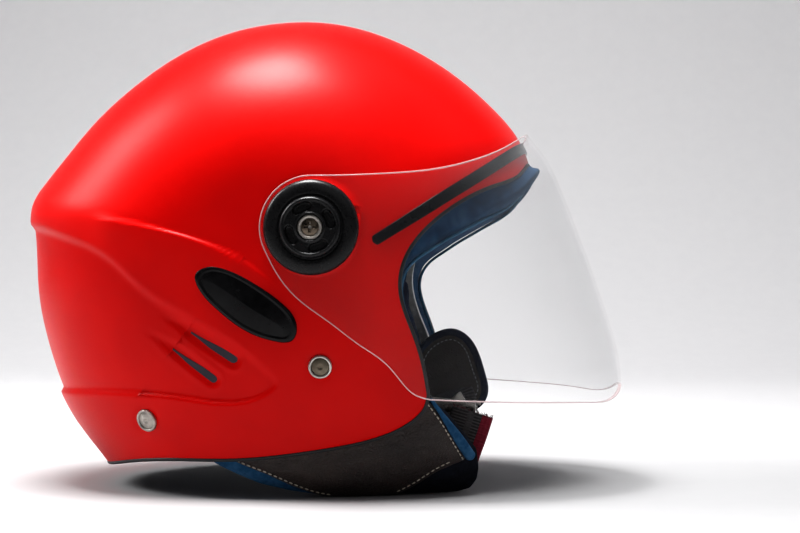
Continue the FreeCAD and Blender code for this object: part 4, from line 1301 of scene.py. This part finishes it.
def stitch_row(name, path, slot, thread, pitch=2.9, length=2.2, thickness=0.8):
    curve = bpy.data.curves.new(name + "_line", "CURVE")
    curve.dimensions = "3D"
    spline = curve.splines.new("POLY")
    spline.points.add(len(path) - 1)
    for point, spot in zip(spline.points, np.asarray(path) * MM):
        point.co = (*spot, 1)
    guide = bpy.data.objects.new(name + "_line", curve)
    bpy.context.scene.collection.objects.link(guide)
    nodes = guide.modifiers.new("stitches", "NODES")
    nodes.node_group = STITCH_TREE
    for label, value in (("Pitch", pitch * MM), ("Length", length * MM), ("Thickness", thickness * MM)):
        nodes[STITCH_SOCKETS[label]] = value
    nodes[STITCH_SOCKETS["Thread"]] = thread
    bpy.context.view_layer.update()
    mesh = bpy.data.meshes.new_from_object(guide.evaluated_get(bpy.context.evaluated_depsgraph_get()))
    bpy.data.objects.remove(guide)
    piece = bpy.data.objects.new(name, mesh)
    bpy.context.scene.collection.objects.link(piece)
    return place(piece, "helmet", slot)


def make_stitches(side):
    rows = {
        "hem": [(-45, 25), (-41, 21.6), (-26.6, 15.0), (-10.8, 8.0), (5.0, 2.2), (9, 1.4)],
        "front": [(61.9, 49.0), (67.3, 41.2), (73.6, 30.0), (79.2, 19.6)],
        "foot": [(45.5, 2.6), (54.8, 7.6), (65.3, 14.4), (71.5, 17.4)],
    }
    for label, points in rows.items():
        p = skirt_line(points, 5.2, side, 120, 0.15)
        stitch_row("skirt_stitches_" + label + "_" + side, p, "brown_leather", THREAD)


# ---- straps and comfort pad ------------------------------------------------------------------------
def ribbon(name, stations, width, thickness, material, rib=1.2, spacing=0.3):
    """Webbing through stations of (point, direction across); ribs stand up across its length."""
    points = smooth_path([p for p, _ in stations], 800)
    length = np.linalg.norm(np.diff(points, axis=0), axis=1).sum()
    count = int(length / spacing)
    points = resampled(points, count)
    knots = np.array([p for p, _ in stations], float)
    where = [int(np.argmin(np.linalg.norm(points - k, axis=1))) for k in knots]
    order = np.maximum.accumulate(where)
    across = np.stack([np.interp(np.arange(count), order + np.arange(len(order)) * 1e-3,
                                 [np.asarray(a, float)[k] / np.linalg.norm(a) for _, a in stations])
                       for k in range(3)], axis=1)
    run = np.linspace(0, length, count)
    rise = 0.07 * np.cos(2 * math.pi * run / rib)
    columns = 14
    across_at = np.linspace(-0.5, 0.5, columns)
    edge = 1 - np.abs(across_at * 2) ** 10
    profile = np.zeros((count, 2 * columns, 2))
    for i in range(count):
        half = thickness / 2 * (0.35 + 0.65 * edge)
        profile[i, :columns, 0] = across_at * width
        profile[i, :columns, 1] = -half - rise[i] * edge
        profile[i, columns:, 0] = across_at[::-1] * width
        profile[i, columns:, 1] = (half + rise[i] * edge)[::-1]
    verts, faces = sweep_mesh(points, across, profile)
    u = np.r_[np.tile(np.r_[across_at, across_at[::-1]] * width, count), 0, 0] * MM
    v = np.r_[np.repeat(run, 2 * columns), 0, length] * MM
    mesh = bpy.data.meshes.new(name)
    mesh.from_pydata((verts * MM).tolist(), [], [list(f) for f in faces])
    bm = bmesh.new()
    bm.from_mesh(mesh)
    if bm.calc_volume(signed=True) < 0:
        bmesh.ops.reverse_faces(bm, faces=bm.faces)
    bm.to_mesh(mesh)
    bm.free()
    layer = mesh.uv_layers.new(name="weave")
    index = np.zeros(len(mesh.loops), int)
    mesh.loops.foreach_get("vertex_index", index)
    layer.data.foreach_set("uv", np.stack([u[index], v[index]], axis=1).ravel().astype(np.float32))
    mesh.materials.append(material)
    mesh.shade_smooth()
    piece = bpy.data.objects.new(name, mesh)
    bpy.context.scene.collection.objects.link(piece)
    return piece


STRAP_LINE = [(1.0, 81.0), (6.8, 69.8), (20, 57), (34, 47), (45, 40)]
STRAP_INSETS = [6.1, 6.1, 11, 22.5, 32]


def strap_stations(free_end, y_sign=1.0):
    stations = []
    for xz, inset in zip(STRAP_LINE, STRAP_INSETS):
        stations.append(((xz[0], float(helmet.wall_y(np.array(xz), inset)), xz[1]), (0.63, 0, 0.78)))
    stations += free_end
    return [((x, y_sign * y, z), (ax, y_sign * ay, az)) for (x, y, z), (ax, ay, az) in stations]


def make_straps():
    left = [((57, 73, 45), (0.75, 0, 0.6)), ((67, 60.5, 49), (0.9, 0, 0.4)), ((73.5, 51, 42.5), (1, 0, 0.1))]
    left += [((73.5, y, 39.6), (1, 0, 0)) for y in (44, 36, 24, 10)]
    piece = ribbon("webbing_left", strap_stations(left), WEB_WIDTH, WEB_THICK, WEB)
    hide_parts("strap_left")
    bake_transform(piece)
    right = [((56, 67.5, 24), (0.8, 0, 0.5)), ((65, 62.5, 12), (0.95, 0, 0.2)), ((70, 60, 8.5), (1, 0, 0.1)),
             ((73, 58.6, 16), (1, 0, 0.15)), ((75, 58.2, 33), (1, 0, 0.2))]
    right += [((73.5, y, 37.3), (1, 0, 0)) for y in (56.5, 53, 49.5)]
    piece = ribbon("webbing_right", strap_stations(right, -1.0), WEB_WIDTH, WEB_THICK, WEB)
    place(piece, "helmet", "black_webbing", "strap_right")
    tail = [((73.4, -61.8, 11), (0.97, 0, -0.24)), ((77.2, -61.2, 22), (0.97, 0, -0.26)),
            ((81.2, -60.8, 33), (0.96, 0.03, -0.28)), ((84.4, -61.5, 43.0), (0.95, 0.06, -0.3))]
    piece = ribbon("webbing_tail", tail, TAIL_WIDTH, 1.7, WEB_STRIPED)
    place(piece, "helmet", "black_webbing")
    fray(tail)


def fray(tail):
    """Loose threads at the cut end of the webbing."""
    (x, y, z), (ax, ay, az) = tail[-1]
    rng = np.random.default_rng(7)
    verts, faces = [], []
    for _ in range(46):
        at = rng.uniform(-0.48, 0.48) * TAIL_WIDTH
        root = np.array([x + ax * at, y + rng.uniform(-0.5, 0.5), z + az * at - 0.6])
        tip = root + np.array([rng.uniform(-0.7, 1.3), rng.uniform(-0.8, 0.8), rng.uniform(0.6, 2.2)])
        middle = (root + tip) / 2 + rng.uniform(-0.35, 0.35, 3)
        path = smooth_path([root, middle, tip], 6)
        v, f = sweep_mesh(path, (1, 0.2, 0), oval_profile(0.34, 0.34, 6))
        base = sum(len(b) for b in verts)
        verts.append(v)
        faces.extend([tuple(i + base for i in face) for face in f])
    piece = finish_mesh("webbing_frayed_end", np.vstack(verts), faces, FRAY)
    place(piece, "helmet", "black_webbing")


def make_buckle_guide():
    """Folded steel edge that stands up behind the buckle's channel."""
    outline = [
        (60.5, 45.5), (60.5, 49.2), (61.2, 49.8), (74.0, 48.8), (76.4, 52.6), (77.4, 52.8),
        (79.6, 49.0), (80.4, 47.6), (80.4, 45.5),
    ]
    loop = resampled(np.array(outline + outline[:1], float), 90, closed=True)

    def near(xz):
        return np.full(len(xz), -42.8)

    def far(xz):
        return np.full(len(xz), -41.4)
    verts, faces = patch_mesh(loop, far, near, 0.4, rows=5, roll_rows=4)
    place(finish_mesh("buckle_guide", verts, faces, BRIGHT), "helmet", "buckle_steel")


def make_strap_pad():
    """Leather comfort pad with a bound edge and a row of stitches inside it."""
    loop = smooth_path(STRAP_PAD, 200, closed=True)

    def near(xz):
        to_rim = distance_to(np.vstack([loop[::5], loop[:1]]), xz)[0]
        crease = distance_to(np.array([(50, 50), (62, 55), (72, 62.0)]), xz)[0]
        return 57.3 - 1.2 * smoothstep(2, 14, to_rim) + 0.7 * np.exp(-(crease / 1.3) ** 2)

    def far(xz):
        to_rim = distance_to(np.vstack([loop[::5], loop[:1]]), xz)[0]
        return 61.6 + 1.6 * smoothstep(2, 14, to_rim)
    verts, faces = patch_mesh(loop, far, near, 1.6, rows=30, roll_rows=5)
    pad = finish_mesh("strap_cushion", verts, faces, LEATHER)
    place(pad, "helmet", "brown_leather", "strap_pad")
    ring = np.stack([loop[:, 0], np.full(len(loop), 59.4), loop[:, 1]], axis=1)
    verts, faces = sweep_mesh(ring, (0, 1, 0), rounded_profile(5.6, 4.6, 1.9, steps=5), closed=True)
    # The binding is blue cloth given the darker navy material: painted shade, as it lies in shadow inside the
    # helmet.
    binding = finish_mesh("strap_binding", verts, faces, NAVY)
    place(binding, "helmet", "navy_fabric")
    seed = loop.mean(axis=0)
    row = seed + (loop - seed) * (1 - 4.4 / np.linalg.norm(loop - seed, axis=1, keepdims=True))
    path = np.stack([row[:, 0], near(row) - 0.1, row[:, 1]], axis=1)
    path = np.vstack([path, path[:1]])
    stitch_row("strap_pad_stitches", path, "brown_leather", GREY_THREAD, 2.6, 1.9, 0.65)


# ---- the whole helmet ---------------------------------------------------------------------------------
make_shell()
make_edge_trim()
make_brow_strip()
make_visor()
make_face_lining()
make_rear_lining()
make_crown_pad()
make_neck_roll()
for side in SIDES:
    make_badge(side)
    make_vent(side)
    make_hinge_cap(side)
    make_screw(side)
    make_rivet(side, "front_rivet", FRONT_RIVET, DARK_NICKEL, BRIGHT, "strap_rivet", "dark_nickel")
    make_rivet(side, "rear_rivet", REAR_RIVET, PALE_NICKEL, PALE_NICKEL, "skirt_rivet", "pale_nickel")
    make_cheek_pad(side)
    make_skirt(side)
    make_skirt_piping(side)
    make_stitches(side)
make_straps()
make_buckle_guide()
make_strap_pad()

KEPT = {
    "hinge_base_left": CAP_BLACK, "hinge_base_right": CAP_BLACK,
    "hinge_nut_left": BRIGHT, "hinge_nut_right": BRIGHT,
    "rivet_washers": BRIGHT, "foam_liner": FOAM, "buckle_housing": STEEL, "buckle_tongue": STEEL,
    "release_lever": STEEL, "lever_pin": BRIGHT, "lever_spring": BRIGHT,
}
for node, material in KEPT.items():
    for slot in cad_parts[node].material_slots:
        slot.material = material


# ---- floor, light and camera -----------------------------------------------------------------------------
def make_backdrop():
    """White sheet with painted shade, half as bright in front of and under the helmet as behind it: flat
    under the helmet and curved up behind it.
    """
    profile = [(-2.6, 0.0), (1.1, 0.0)]
    for a in np.linspace(0, math.pi / 2, 12):
        profile.append((1.1 + 0.7 * math.sin(a), 0.7 - 0.7 * math.cos(a)))
    profile.append((1.8, 3.2))
    xs = (-4.0, 4.0)
    verts = [(x / MM, y / MM, (z - 0.0002) / MM) for y, z in profile for x in xs]
    faces = grid_faces(len(profile), 2)
    paper = finish_of("white_paper", (0.88, 0.87, 0.88), 0.75, Specular_IOR_Level=0.2)
    fibres = ramp_of(paper, noise_of(paper, 60, 4, 0.6),
                     (0.3, (0.742, 0.738, 0.746)), (0.7, (0.758, 0.754, 0.76)))
    # Painted shade: the paper's colour is halved in front of and under the helmet and rises to full at the
    # back.
    depth = add_node(paper, "ShaderNodeSeparateXYZ")
    link(paper, place_of(paper), depth.inputs["Vector"])
    shade = add_node(paper, "ShaderNodeMapRange")
    for label, value in (("From Min", 0.0), ("From Max", 1.1), ("To Min", 0.5), ("To Max", 1.0)):
        shade.inputs[label].default_value = value
    link(paper, depth.outputs["Y"], shade.inputs["Value"])
    dim = add_node(paper, "ShaderNodeMixRGB", blend_type="MULTIPLY")
    dim.inputs["Fac"].default_value = 1.0
    link(paper, fibres, dim.inputs["Color1"])
    link(paper, shade.outputs["Result"], dim.inputs["Color2"])
    link(paper, dim.outputs["Color"], paper.node_tree.nodes["Principled BSDF"].inputs["Base Color"])
    bump_from(paper, [(noise_of(paper, 420, 3), 0.15, 0.2)])
    sheet = finish_mesh("paper_backdrop", verts, faces, paper)


def area_light(name, at, aim, size, power):
    data = bpy.data.lights.new(name, "AREA")
    data.shape = "RECTANGLE"
    data.size, data.size_y = size
    data.energy = power
    lamp = bpy.data.objects.new(name, data)
    bpy.context.scene.collection.objects.link(lamp)
    lamp.location = at
    lamp.rotation_euler = (Vector(aim) - Vector(at)).to_track_quat("-Z", "Y").to_euler()


def light_room(world):
    """White room light that is dimmer where the camera stands, as in a studio."""
    tree = world.node_tree
    where = tree.nodes.new("ShaderNodeTexCoord")
    split = tree.nodes.new("ShaderNodeSeparateXYZ")
    behind = tree.nodes.new("ShaderNodeMapRange")
    for label, value in (("From Min", -0.6), ("From Max", 0.3), ("To Min", 0.0), ("To Max", 0.46)):
        behind.inputs[label].default_value = value
    above = tree.nodes.new("ShaderNodeMapRange")
    for label, value in (("From Min", 0.25), ("From Max", 0.95), ("To Min", 0.0), ("To Max", 0.18)):
        above.inputs[label].default_value = value
    total = tree.nodes.new("ShaderNodeMath")
    background = tree.nodes["Background"]
    background.inputs["Color"].default_value = (0.97, 0.96, 1.0, 1)
    tree.links.new(where.outputs["Generated"], split.inputs["Vector"])
    tree.links.new(split.outputs["Y"], behind.inputs["Value"])
    tree.links.new(split.outputs["Z"], above.inputs["Value"])
    tree.links.new(behind.outputs["Result"], total.inputs[0])
    tree.links.new(above.outputs["Result"], total.inputs[1])
    tree.links.new(total.outputs["Value"], background.inputs["Strength"])


make_backdrop()
world = bpy.data.worlds.new("studio")
bpy.context.scene.world = world
world.use_nodes = True
light_room(world)
area_light("overhead_softbox", (-0.15, -0.13, 1.25), (-0.02, -0.05, 0.15), (0.55, 0.42), 33)
area_light("rear_softbox", (-1.05, 0.0, 0.9), (-0.05, 0, 0.15), (0.45, 0.6), 11)
area_light("front_fill", (0.5, -1.7, 0.9), (0, 0, 0.12), (1.4, 0.6), 1.2)

camera_data = bpy.data.cameras.new("view")
camera_data.lens = 94.7
camera_data.sensor_width = 36
camera = bpy.data.objects.new("view", camera_data)
bpy.context.scene.collection.objects.link(camera)
camera.location = (0.1046, -1.1984, 0.1215)
camera.rotation_euler = (math.pi / 2, 0, math.radians(3))
bpy.context.scene.camera = camera
bpy.context.scene.view_settings.view_transform = "Standard"
bpy.context.scene.view_settings.look = "Medium High Contrast"
